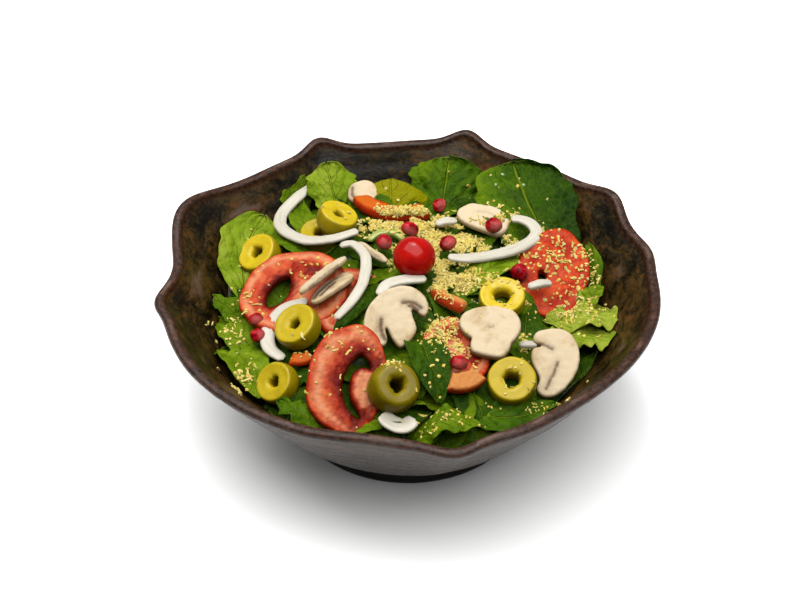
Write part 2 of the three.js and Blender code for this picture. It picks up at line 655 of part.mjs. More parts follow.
// A strip of onion: a six-sided section swept along its line, thinner at both ends.
function onionGeometry(piece, grow) {
  const curve = new THREE.CatmullRomCurve3(piece.line.map((point) => new THREE.Vector3(...point)));
  const rings = [];
  for (let step = 0; step <= piece.steps; step += 1) {
    const along = step / piece.steps;
    const middle = curve.getPointAt(along);
    const forward = curve.getTangentAt(along);
    const side = new THREE.Vector3(forward.y, -forward.x, 0).normalize();
    const up = new THREE.Vector3().crossVectors(side, forward).normalize();
    const taper = 0.55 + 0.45 * Math.sin(Math.PI * along) ** 0.5;
    if (step === 0) middle.addScaledVector(forward, -grow);
    if (step === piece.steps) middle.addScaledVector(forward, grow);
    const wide = (piece.wide / 2) * taper + grow;
    const tall = (piece.tall / 2) * taper + grow;
    const sides = grow > 0 ? 4 : 6;
    rings.push(around(sides, (angle) => {
      const turn = (angle + 180 / sides) * radians;
      const point = middle.clone();
      point.addScaledVector(side, wide * Math.cos(turn) * holding(sides));
      point.addScaledVector(up, tall * Math.sin(turn) * holding(sides));
      return point.toArray();
    }));
  }
  const middleOf = (ring) => ring[0].map((value, axis) => (value + ring[ring.length / 2][axis]) / 2);
  return loft(rings.reverse(), middleOf(rings[0]), middleOf(rings[rings.length - 1]));
}

function arilGeometry(piece, grow) {
  const geometry = new THREE.IcosahedronGeometry(grow > 0 ? 1.25 : 1, grow > 0 ? 0 : 1);
  const [x, y, z] = piece.size.map((size) => size / 2 + grow);
  return settle(geometry.scale(x, y, z), { ...piece, lean: 25, toward: piece.spin * 3 });
}

function cherryGeometry(piece, grow) {
  const geometry = grow > 0
    ? new THREE.SphereGeometry((piece.radius + grow) * holding(9), 10, 6)
    : new THREE.SphereGeometry(piece.radius, 14, 9);
  return geometry.scale(1, 0.97, 1).translate(...piece.at);
}

function topping(name, piece, maker, colour) {
  const build = (grow) => {
    let solid = solidFrom(maker(piece, grow));
    if (piece.crumbs) {
      const reach = (piece.long ?? piece.radius * 1.4) / 2.6;
      const { crumbs, at } = piece;
      solid = sprinkle(solid, { count: crumbs, seed: crumbs, reachX: reach * 0.8, reachY: reach, middle: at, grow });
    }
    return solid;
  };
  return { name, colour: colours[piece.colour ?? colour], solid: build(0), cutter: build(clearance) };
}

function family(pieces, maker, colour) {
  return Object.entries(pieces).map(([name, piece]) => topping(name, piece, maker, colour));
}

// From the lowest to the highest: a piece gives way to every piece that lies on it.
function allToppings() {
  return [
    ...family(tomatoSlices, tomatoSliceGeometry, 'tomato'),
    ...family(tomatoWedges, tomatoWedgeGeometry, 'tomato'),
    ...family(olives, oliveGeometry, 'olive'),
    ...family(mushrooms, mushroomGeometry, 'mushroom'),
    ...family(onions, onionGeometry, 'onion'),
    ...family(arils, arilGeometry, 'aril'),
    topping('cherry_tomato', cherryTomato, cherryGeometry, 'cherry'),
  ];
}

function meshNamed(name, geometry, color, roughness = 0.5) {
  const mesh = new THREE.Mesh(geometry, new THREE.MeshStandardMaterial({ color, roughness, metalness: 0 }));
  mesh.name = name;
  return mesh;
}

function salad() {
  const group = new THREE.Group();
  const toppings = allToppings();
  group.add(meshNamed('bowl', bowlGeometry(), colours.glaze, 0.35));
  const greens = greensSolid(toppings.map((piece) => piece.cutter));
  group.add(meshNamed('greens', geometryOf(greens), colours.leaf));
  toppings.forEach((piece, i) => {
    let { solid } = piece;
    for (const upper of toppings.slice(i + 1)) solid = solid.subtract(upper.cutter);
    group.add(meshNamed(piece.name, geometryOf(largestBody(solid)), piece.colour, 0.4));
  });
  return group;
}

const group = salad();
export default group;
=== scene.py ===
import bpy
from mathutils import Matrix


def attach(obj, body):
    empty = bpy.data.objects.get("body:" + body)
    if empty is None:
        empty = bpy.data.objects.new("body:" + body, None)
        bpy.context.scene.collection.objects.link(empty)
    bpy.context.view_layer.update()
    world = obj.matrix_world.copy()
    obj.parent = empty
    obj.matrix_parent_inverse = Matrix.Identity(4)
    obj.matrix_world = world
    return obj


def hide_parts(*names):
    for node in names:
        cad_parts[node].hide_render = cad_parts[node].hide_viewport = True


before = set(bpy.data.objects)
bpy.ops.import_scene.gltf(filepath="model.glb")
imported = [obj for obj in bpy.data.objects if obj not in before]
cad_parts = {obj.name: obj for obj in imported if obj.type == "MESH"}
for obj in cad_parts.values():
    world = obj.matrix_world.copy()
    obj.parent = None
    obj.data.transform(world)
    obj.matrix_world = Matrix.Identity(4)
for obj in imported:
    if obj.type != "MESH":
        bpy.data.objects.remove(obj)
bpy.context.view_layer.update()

import math
import random

import bmesh
import bpy
import numpy as np
from mathutils import Vector
from mathutils.bvhtree import BVHTree
from mathutils.geometry import delaunay_2d_cdt

print("frame loaded,", len(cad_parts), "nodes")

# Sizes in the dictionaries are millimetres and degrees, as in the CAD part; meshes are made in metres.
scene = bpy.context.scene
metre = 0.001
circle = 2 * math.pi

camera = {"elevation": 40, "distance": 1.0, "target": (-0.0015, 0.003, 0.0625), "lens": 90, "clip": (0.05, 50)}


def addObject(name, data, at=(0, 0, 0)):
    thing = bpy.data.objects.new(name, data)
    thing.location = at
    scene.collection.objects.link(thing)
    return thing


def placeCamera():
    data = bpy.data.cameras.new("photoCamera")
    data.lens = camera["lens"]
    data.clip_start, data.clip_end = camera["clip"]
    tilt = math.radians(camera["elevation"])
    back = Vector((0, -math.cos(tilt), math.sin(tilt)))
    viewer = addObject("photoCamera", data, Vector(camera["target"]) + back * camera["distance"])
    viewer.rotation_euler = (math.pi / 2 - tilt, 0, 0)
    scene.camera = viewer


placeCamera()
scene.view_settings.view_transform = "Standard"


class signal:
    # A node's output. Its sums, differences and products are Math nodes.
    def __init__(self, maker, socket):
        self.maker, self.socket = maker, socket

    def __add__(self, other):
        return self.maker.maths("ADD", self, other)

    def __sub__(self, other):
        return self.maker.maths("SUBTRACT", self, other)

    def __mul__(self, other):
        return self.maker.maths("MULTIPLY", self, other)


class nodeMaker:
    def __init__(self, tree):
        self.tree = tree

    def feed(self, socket, value):
        if isinstance(value, signal):
            self.tree.links.new(value.socket, socket)
        elif isinstance(value, tuple) and len(value) == 3 and len(socket.default_value) == 4:
            socket.default_value = (*value, 1)
        else:
            socket.default_value = value

    def make(self, kind, inputs, output=0, **settings):
        node = self.tree.nodes.new(kind)
        for key, value in settings.items():
            setattr(node, key, value)
        for key, value in inputs.items():
            self.feed(node.inputs[key], value)
        return signal(self, node.outputs[output])

    def maths(self, operation, *values):
        return self.make("ShaderNodeMath", dict(enumerate(values)), operation=operation)


class materialMaker(nodeMaker):
    def __init__(self, name, **sockets):
        self.material = bpy.data.materials.new(name)
        self.material.use_nodes = True
        super().__init__(self.material.node_tree)
        self.tree.nodes.clear()
        self.shader = self.tree.nodes.new("ShaderNodeBsdfPrincipled")
        output = self.tree.nodes.new("ShaderNodeOutputMaterial")
        self.tree.links.new(self.shader.outputs["BSDF"], output.inputs["Surface"])
        for socket, value in sockets.items():  # coatWeight sets "Coat Weight"
            words = "".join(" " + letter if letter.isupper() else letter for letter in socket)
            title = words[0].upper() + words[1:]
            self.shader.inputs[title.replace("Ior", "IOR")].default_value = value

    def coordinates(self, kind="Object"):
        return self.make("ShaderNodeTexCoord", {}, kind)

    def field(self, name):
        return self.make("ShaderNodeAttribute", {}, "Fac", attribute_name=name)

    def stretched(self, vector, scale):
        return self.make("ShaderNodeMapping", {"Vector": vector, "Scale": scale})

    def cloud(self, vector, scale, detail=3, roughness=0.55, distortion=0.0):
        values = {"Vector": vector, "Scale": scale, "Detail": detail, "Roughness": roughness, "Distortion": distortion}
        return self.make("ShaderNodeTexNoise", values, "Fac")

    def band(self, value, low, high, fromLevel=0.0, toLevel=1.0):
        values = {"Value": value, "From Min": low, "From Max": high, "To Min": fromLevel, "To Max": toLevel}
        return self.make("ShaderNodeMapRange", values, "Result", interpolation_type="SMOOTHSTEP")

    def blended(self, share, first, second):
        return self.make("ShaderNodeMix", {"Factor": share, 6: first, 7: second}, 2, data_type="RGBA")

    def graded(self, value, *stops):
        colour = self.make("ShaderNodeValToRGB", {"Fac": value}, "Color")
        elements = colour.socket.node.color_ramp.elements
        while len(elements) < len(stops):
            elements.new(0.5)
        for element, (position, shade) in zip(elements, stops):
            element.position = position
            element.color = (*shade, 1)
        return colour

    def bumped(self, height, distance, strength=1.0):
        values = {"Strength": strength, "Distance": distance, "Height": height}
        self.feed(self.shader.inputs["Normal"], self.make("ShaderNodeBump", values))

    def finished(self, colour, roughness=None):
        self.feed(self.shader.inputs["Base Color"], colour)
        if roughness:
            self.feed(self.shader.inputs["Roughness"], roughness)
        return self.material


studio = {
    "floorSide": 7.0, "floorColour": (0.87, 0.87, 0.866), "worldStrength": 0.34, "aim": (0, 0, 0.06),
    "softboxes": {
        "overhead": {"at": (-0.07, -0.07, 1.25), "size": (2.2, 1.3), "watts": 51.5},
        "sparkle": {"at": (-0.03, 0.42, 1.15), "size": (0.34, 0.3), "watts": 5.0},
    },
}


def makeStudio():
    half = studio["floorSide"] / 2
    mesh = bpy.data.meshes.new("studioFloor")
    mesh.from_pydata([(-half, -half, 0), (half, -half, 0), (half, half, 0), (-half, half, 0)], [], [(0, 1, 2, 3)])
    look = materialMaker("palePaper", roughness=0.75)
    pale = studio["floorColour"]
    dimmer = tuple(channel * 0.985 for channel in pale)
    mesh.materials.append(look.finished(look.blended(look.cloud(look.coordinates(), 40), pale, dimmer)))
    floor = addObject("studioFloor", mesh)
    for name, box in studio["softboxes"].items():
        light = bpy.data.lights.new(name, "AREA")
        light.shape = "RECTANGLE"
        light.size, light.size_y = box["size"]
        light.energy = box["watts"]
        lamp = addObject(name, light, box["at"])
        lamp.rotation_mode = "QUATERNION"
        lamp.rotation_quaternion = (Vector(studio["aim"]) - Vector(box["at"])).to_track_quat("-Z", "Y")
    world = bpy.data.worlds.new("studioWorld")
    world.use_nodes = True
    background = world.node_tree.nodes["Background"]
    background.inputs["Color"].default_value = (1, 1, 1, 1)
    background.inputs["Strength"].default_value = studio["worldStrength"]
    scene.world = world


makeStudio()
print("camera and studio ready")


def setField(mesh, name, values):
    attribute = mesh.attributes.new(name, "FLOAT", "POINT")
    attribute.data.foreach_set("value", np.asarray(values, np.float32).ravel())


def buildMesh(name, points, faces, uv=None, fields=None):
    mesh = bpy.data.meshes.new(name)
    mesh.from_pydata((points * metre).tolist(), [], faces)
    mesh.polygons.foreach_set("use_smooth", [True] * len(mesh.polygons))
    if uv is not None:
        corner = np.empty(len(mesh.loops), dtype=np.int32)
        mesh.loops.foreach_get("vertex_index", corner)
        layer = mesh.uv_layers.new(name="UVMap")
        layer.data.foreach_set("uv", np.asarray(uv, np.float32)[corner].ravel())
    for field, values in (fields or {}).items():
        setField(mesh, field, values)
    work = bmesh.new()
    work.from_mesh(mesh)
    bmesh.ops.recalc_face_normals(work, faces=work.faces)  # every mesh here is closed
    work.to_mesh(mesh)
    work.free()
    return mesh


shown = []  # every finished piece, lowest first


def addPiece(name, mesh, material, nodes=()):
    piece = addObject(name, mesh)
    mesh.materials.append(material)
    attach(piece, "root")
    if nodes:
        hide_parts(*nodes)
    shown.append(piece)


def addFood(pieces, makeMesh, material, seedStep, firstSeed):
    for index, (node, piece) in enumerate(pieces.items()):
        mesh = makeMesh(node, piece, seedStep * index + firstSeed)
        addPiece(node.replace("_", "-"), mesh, material, [node])


def joined(parts):
    # Puts several (points, faces, uv, fields) tuples in one.
    points, faces, uvs, fields, start = [], [], [], {}, 0
    for partPoints, partFaces, partUv, partFields in parts:
        points.append(partPoints)
        faces += [tuple(index + start for index in face) for face in partFaces]
        uvs.append(np.zeros((len(partPoints), 2)) if partUv is None else partUv)
        for key, values in partFields.items():
            fields.setdefault(key, []).append(values)
        start += len(partPoints)
    return np.vstack(points), faces, np.vstack(uvs), {key: np.concatenate(value) for key, value in fields.items()}


def gridFaces(rows, columns, start=0, closed=False):
    # rows x columns points; a closed grid joins its last column to the first.
    here = start + np.arange(rows * columns).reshape(rows, columns)
    there = np.roll(here, -1, axis=1)
    if not closed:
        here, there = here[:, :-1], there[:, :-1]
    return np.stack([here[:-1], there[:-1], there[1:], here[1:]], -1).reshape(-1, 4).tolist()


def capped(grid, first, last):
    # Rings of points, closed by one point at either end.
    rows, columns = grid.shape[:2]
    faces = gridFaces(rows, columns, closed=True)
    count, top = rows * columns, (rows - 1) * columns
    for column in range(columns):
        after = (column + 1) % columns
        faces += [(count, after, column), (count + 1, top + column, top + after)]
    return np.vstack([grid.reshape(-1, 3), [first, last]]), faces


def ring(turn, radius, z=0.0, back=0.0):
    return np.stack(np.broadcast_arrays(radius * np.cos(turn), back + radius * np.sin(turn), z), axis=-1)


def around(count):
    return np.linspace(0, circle, count, endpoint=False)


def unit(vectors):
    return vectors / np.maximum(np.linalg.norm(vectors, axis=-1, keepdims=True), 1e-9)


def ripple(points, size, seed, waves=7):
    # A soft random relief from -1 to 1, made of crossing waves about size millimetres long.
    draw = np.random.default_rng(seed)
    total = np.zeros(points.shape[:-1])
    for _ in range(waves):
        direction = unit(draw.normal(size=3))[:points.shape[-1]]
        length = size * draw.uniform(0.6, 1.6)
        total += np.sin(points @ direction * (circle / length) + draw.uniform(0, circle))
    return total / (waves * 0.62)


def settle(points, at, lean=0, toward=0, spin=0):
    # Turns a flat piece about its own face, tips it towards a plan angle, then moves it.
    lean, toward, spin = (math.radians(angle) for angle in (lean, toward, spin))
    cosine, sine = math.cos(spin), math.sin(spin)
    turned = points @ np.array([[cosine, -sine, 0], [sine, cosine, 0], [0, 0, 1]]).T
    axis = np.array([-math.sin(toward), math.cos(toward), 0])
    across = np.cross(axis, turned)
    along = (turned @ axis)[:, None] * axis
    return turned * math.cos(lean) + across * math.sin(lean) + along * (1 - math.cos(lean)) + np.array(at)


def settledMesh(name, piece, points, faces, fields):
    points = settle(points, piece["at"], piece["lean"], piece["toward"], piece.get("spin", 0))
    return buildMesh(name, points, faces, fields=fields)


bowl = {
    "sides": 400, "footHeight": 7, "footRecess": 4, "wallFoot": 58.5,
    "reach": 119.5, "height": 80.3, "lip": 5.5, "lipRound": 2.5, "floorRadius": 50, "floorHeight": 12,
    "curve": 0.8, "lean": 3, "wallRows": 46, "lipRows": 12, "dents": 0.45, "lipWander": 0.5,
    "recessRows": (14, 28, 40, 51), "floorRows": ((48, 12.3), (36, 12.6), (22, 12.8), (8, 13)),
    "footRows": ((52.4, 0.8), (53, 0), (53.8, 0), (58.6, 0), (59.3, 0.5), (59.5, 2.5), (59.2, 5)),
    "bends": [  # plan angle, millimetres out, millimetres up, half width in degrees
        (10, 2.5, 0.5, 6), (31, 5, 4, 7), (58, -3.5, 1, 10), (75, 5.5, 4, 5), (96, -5, 0.5, 14),
        (113, 4.5, 4, 5), (130, -4, 1.5, 13), (155, 8, 5, 11), (176, -3.5, 0, 8), (188, 4, 0, 5),
        (214, 2.5, 0, 22), (260, -1, 2, 10), (280, 5.5, -1, 6), (294, 1.5, 0, 8), (346, 4, 0, 22),
    ],
}


def rimAt(angle):
    reach = np.full(np.shape(angle), float(bowl["reach"]))
    height = np.full(np.shape(angle), float(bowl["height"]))
    for at, out, up, wide in bowl["bends"]:
        turn = (angle - at + 540) % 360 - 180
        share = np.exp(-((turn / wide) ** 2))
        reach = reach + out * share
        height = height + up * share
    return reach, height


def wallRadius(angle, rise, inside):
    reach, _ = rimAt(angle)
    start = bowl["floorRadius"] if inside else bowl["wallFoot"]
    top = bowl["reach"] - (bowl["lip"] if inside else 0)
    return start + (top - start) * rise ** bowl["curve"] + (reach - bowl["reach"]) * rise ** 2


def wallRow(angle, rise, inside):
    _, height = rimAt(angle)
    bottom = bowl["floorHeight"] if inside else bowl["footHeight"]
    z = bottom + (height - bowl["lipRound"] - bottom) * rise
    return ring(np.radians(angle), wallRadius(angle, rise, inside), z, bowl["lean"] * rise)


def keepInside(points, margin):
    # Presses what would stick through the wall back against it.
    result = points.copy()
    x, y, z = (points[..., axis] for axis in range(3))
    angle = np.degrees(np.arctan2(y - bowl["lean"], x))
    _, height = rimAt(angle)
    rise = np.clip((z - bowl["floorHeight"]) / (height - bowl["lipRound"] - bowl["floorHeight"]), 0.001, 1)
    middle = bowl["lean"] * rise
    radius = np.hypot(x, y - middle)
    limit = wallRadius(np.degrees(np.arctan2(y - middle, x)), rise, True) - margin
    share = np.where(radius > limit, limit / np.maximum(radius, 1e-6), 1)
    result[..., 0] = x * share
    result[..., 1] = middle + (y - middle) * share
    return result


def makeBowl():
    angle = np.arange(bowl["sides"]) * 360 / bowl["sides"]
    turn = np.radians(angle)
    reach, height = rimAt(angle)
    wallSteps, lipSteps = bowl["wallRows"] - 1, bowl["lipRows"]
    rows = [(ring(turn, radius, bowl["footRecess"]), 0, 90) for radius in bowl["recessRows"]]
    rows += [(ring(turn, radius, z), 0, 80) for radius, z in bowl["footRows"]]
    for rise in np.arange(wallSteps + 1) / wallSteps:
        rows.append((wallRow(angle, rise, False), 0, (1 - rise) * 88 + 2.8))
    half = bowl["lip"] / 2
    for step in range(1, lipSteps):
        over = math.pi * step / lipSteps
        radius = reach - half + half * math.copysign(abs(math.cos(over)) ** 0.8, math.cos(over))
        z = height - bowl["lipRound"] + bowl["lipRound"] * math.sin(over) ** 0.7
        rows.append((ring(turn, radius, z, bowl["lean"]), step / lipSteps, abs(step - lipSteps / 2) * 0.45))
    for rise in 1 - np.arange(wallSteps + 1) / wallSteps * 0.97:
        rows.append((wallRow(angle, rise, True), 1, (1 - rise) * 88 + 2.8))
    rows += [(ring(turn, radius, z), 1, 95) for radius, z in bowl["floorRows"]]
    # side is 1 on the inside; gap is the distance from the lip
    grid = np.array([row for row, _, _ in rows])
    side, gap = (np.repeat([row[place] for row in rows], len(turn)).reshape(grid.shape[:2]) for place in (1, 2))
    pinched = ripple(grid, 34, 5) * 0.75 + ripple(grid, 13, 6) * 0.3
    thrown = np.sin(grid[..., 2] * 0.9 + ripple(grid, 60, 8) * 2) * 0.22
    push = (pinched * bowl["dents"] + thrown) * np.clip(gap / 9, 0.25, 1) * np.where(side > 0.5, 0.7, 1) * (gap < 79)
    grid = grid + ring(turn, 1.0) * push[..., None]
    grid[..., 2] += ripple(grid[:1] * 2, 40, 9) * bowl["lipWander"] * np.exp(-((gap / 7) ** 2)) * 0.5
    points, faces = capped(grid, (0, 0, bowl["footRecess"]), (0, 0, bowl["floorRows"][-1][1]))
    fields = {"inside": np.append(side, [0, 1]), "fromLip": np.append(gap, [90, 95])}
    return buildMesh("bowlShell", points, faces, fields=fields)


def glazeMaterial():
    look = materialMaker("brownGlaze", specularIorLevel=0.14)
    place = look.coordinates()
    fromLip = look.field("fromLip")
    patches = look.cloud(look.stretched(place, (1, 1, 2.2)), 26, 6, 0.66, 0.6)
    blotches = look.cloud(look.stretched(place, (1, 1, 1.8)), 95, 5, 0.7, 0.9)
    fine = look.cloud(place, 520, 4, 0.7)
    mottle = patches * 0.4 + blotches * 0.4 + fine * 0.2
    inner = look.graded(
        mottle, (0.42, (0.0014, 0.001, 0.0003)), (0.48, (0.008, 0.005, 0.0009)), (0.53, (0.026, 0.014, 0.0022)),
        (0.59, (0.056, 0.021, 0.0036)))
    outer = look.graded(
        mottle, (0.38, (0.02, 0.0165, 0.0142)), (0.52, (0.0385, 0.031, 0.0262)), (0.64, (0.062, 0.046, 0.036)))
    # the lowest outer wall and the foot go near black: painted shade under the bowl
    outer = look.blended(look.band(fromLip, 72, 78), outer, (0.0045, 0.0038, 0.003))
    body = look.blended(look.band(look.field("inside"), 0.4, 0.6), outer, inner)
    # a lighter greyish-brown band of patches below the lip is a painted soft highlight
    sheenBelowLip = look.band(fromLip, 7, 13) * look.band(fromLip, 16, 26, 1, 0)
    body = look.blended(sheenBelowLip * look.band(patches, 0.55, 0.66, 0, 0.55), body, (0.06, 0.043, 0.034))
    rust = look.graded(fine, (0.38, (0.006, 0.003, 0.002)), (0.62, (0.04, 0.0145, 0.0065)))
    body = look.blended(look.band(fromLip + (blotches - 0.5) * 12, 1.5, 6, 0.9, 0), body, rust)
    # lighter mauve-brown patches along the lip's crest are a painted highlight
    crestHighlight = look.band(look.cloud(place, 60), 0.52, 0.66, 0, 0.45)
    body = look.blended(look.band(fromLip, 0.1, 0.8, 1, 0) * crestHighlight, body, (0.11, 0.068, 0.052))
    look.bumped(fine * 0.25 + blotches, 0.0007, 0.7)
    return look.finished(body, look.band(blotches, 0.3, 0.7, 0.26, 0.46))


addPiece("bowlShell", makeBowl(), glazeMaterial(), ["bowl"])
print("bowl ready")


heap = {
    "top": 75, "middleY": 15, "fall": 0.0027, "fallBehind": 0.001, "under": 3.5, "bump": 1.2, "stemDepth": 3,
    "wavesX": 0.21, "wavesY": 0.19, "sides": 150, "rings": 46, "wallRings": 14, "sink": 1.2, "relief": 1.1,
    "wallGap": 1.3, "bottom": 14.5, "edgeRise": (0.48, 0.1, 0.2),
}

leafBlade = {
    "rows": 52, "columns": 32, "thick": 0.42, "waves": 13, "waveShift": 1.3, "edge": 0.5, "veinSlant": 0.5,
    "quilt": 0.75, "ribDepth": 0.6, "ribWide": 1.1, "wallGap": 1.1, "notchWaves": (22, 43), "frillWaves": 37,
    "frill": 0.3, "firstSeed": 100,
}

# midrib: base, middle, tip. tint: 0 deep green to 1 light green. notches: how far its edge is cut in.
# roll, cup and ruffle bend it, peak is where it is widest, turned paints one half lighter and the other darker:
# painted light on a fold.
usualLeaf = {
    "roll": 0, "peak": 0.5, "cup": 0.1, "ruffle": 1, "notches": 0, "veins": 5, "fullness": 0.6, "crinkle": 0.8,
    "turned": 0, "olive": 0,
}
leaves = {
    "leafBackRight": dict(midrib=[(90, 8, 58), (66, 55, 73), (55, 98, 80)], wide=50, roll=10, peak=0.72, ruffle=2.2,
        tint=0.28, notches=0.09, veins=6, fullness=0.36, crinkle=2, turned=0.28),
    "leafBackMiddle": dict(midrib=[(17, 74, 60), (20, 94, 71), (22, 106, 77)], wide=40, peak=0.6, cup=-0.15,
        ruffle=2.4, tint=0.38, notches=0.06, veins=4, fullness=0.42, crinkle=1.9, turned=0.16),
    "leafBackLobe": dict(midrib=[(-8, 68, 63), (-9, 79, 71), (-9, 89, 76)], wide=40, cup=-0.3, ruffle=0.5, tint=0.5,
        olive=1, veins=3, crinkle=0.3, fullness=0.5),
    "leafBackLeft": dict(midrib=[(-34, 68, 60), (-39, 86, 70), (-43, 101, 77)], wide=27, peak=0.6, ruffle=2.2,
        tint=0.8, notches=0.13, crinkle=1.3),
    "leafBackLeftLow": dict(midrib=[(-50, 70, 60), (-59, 85, 67), (-56, 98, 74)], wide=17, roll=-10, peak=0.55,
        tint=0.62, notches=0.1),
    "leafLeft": dict(midrib=[(-78, 8, 56), (-83, 38, 62), (-74, 65, 70)], wide=30, roll=-18, peak=0.66, ruffle=1.8,
        tint=0.78, notches=0.09, fullness=0.45, crinkle=1.2),
    "leafLeftLow": dict(midrib=[(-74, -8, 60), (-88, 4, 59), (-98, 12, 60)], wide=14, peak=0.4, tint=0.5,
        notches=0.08),
    "leafLeftUnder": dict(midrib=[(-70, -28, 60), (-83, -13, 57), (-95, 1, 54)], wide=17, roll=10, peak=0.45,
        tint=0.66, notches=0.08),
    "leafFrontLeft": dict(midrib=[(-93, -10, 56), (-80, -31, 58), (-71, -56, 54)], wide=24, roll=12, peak=0.4,
        cup=0.15, ruffle=1.2, tint=0.7, notches=0.05, fullness=0.5),
    "leafFrontSpiky": dict(midrib=[(-33, -78, 53), (-48, -72, 57), (-61, -62, 57)], wide=15, ruffle=2, tint=0.5,
        notches=0.34),
    "leafFrontDark": dict(midrib=[(-49, -40, 60), (-51, -53, 57), (-56, -63, 52)], wide=13, roll=10, tint=0.2,
        notches=0.1, veins=4),
    "leafFrontRibbed": dict(midrib=[(-1, -81, 55), (15, -78, 61), (34, -76, 55)], wide=20, roll=8, cup=-0.1, ruffle=2,
        tint=0.56, notches=0.07, veins=8),
    "leafFrontRight": dict(midrib=[(32, -59, 57), (47, -69, 54), (71, -57, 52)], wide=22, roll=-6, cup=0.15,
        tint=0.3),
    "leafFrilly": dict(midrib=[(67, -4, 63), (86, -4, 62), (101, 2, 59)], wide=28, roll=5, peak=0.6, ruffle=3,
        tint=0.95, notches=0.16, veins=6),
    "leafFrillyLow": dict(midrib=[(66, -20, 62), (84, -17, 61), (99, -15, 58)], wide=31, roll=8, peak=0.55, ruffle=3,
        tint=0.9, notches=0.16, veins=6),
    "leafSpike": dict(midrib=[(80, -4, 61), (90, 6, 64), (96, 12, 67)], wide=10, peak=0.4, ruffle=0.5, tint=0.8,
        notches=0.12, veins=4),
    "leafRightWall": dict(midrib=[(77, -50, 52), (90, -36, 52), (98, -18, 53)], wide=18, tint=0.3, notches=0.05),
    "leafCentre": dict(midrib=[(2, -18, 77), (9, -44, 72), (15, -66, 60)], wide=20, roll=8, cup=0.2, ruffle=0.5,
        tint=0.22, veins=6),
    "leafCentreLeft": dict(midrib=[(-10, -30, 73), (-1, -48, 68), (6, -63, 60)], wide=16, roll=-20, ruffle=0.5,
        tint=0.4, veins=6),
    "leafFolded": dict(midrib=[(-9, 12, 77), (-22, -10, 77), (-36, -28, 70)], wide=9, roll=20, cup=-0.3, ruffle=0.3,
        tint=0.2),
    "leafMiddle": dict(midrib=[(22, 2, 77), (38, 13, 76), (55, 29, 71)], wide=17, ruffle=0.6, tint=0.78, veins=7,
        crinkle=0.6),
    "leafUnderOnion": dict(midrib=[(-40, 48, 69), (-53, 62, 67), (-57, 83, 67)], wide=14, ruffle=1.5, tint=0.66,
        notches=0.1),
    "leafByOlive": dict(midrib=[(-42, 35, 71), (-56, 41, 69), (-68, 53, 66)], wide=12, ruffle=0.8, tint=0.62,
        notches=0.05),
    "leafRightHigh": dict(midrib=[(88, -2, 60), (93, 22, 63), (91, 44, 68)], wide=11, roll=35, tint=0.45,
        notches=0.05),
}

fillerLeaves = {
    "count": 120, "wide": (13, 24), "long": (24, 42), "inner": 6, "outer": 92, "sink": (1.2, 4.0),
    "tint": (0.1, 0.6), "seed": 21, "turn": 137.5, "middleY": 4, "rows": 22, "columns": 12,
}


def moundHeight(x, y):
    fall = np.where(y < heap["middleY"], heap["fall"], heap["fallBehind"])
    return heap["top"] - heap["fall"] * x * x - fall * (y - heap["middleY"]) ** 2


def heapHeight(x, y):
    return moundHeight(x, y) - heap["under"] + heap["bump"] * np.sin(x * heap["wavesX"] + 1) * np.cos(y * heap["wavesY"])


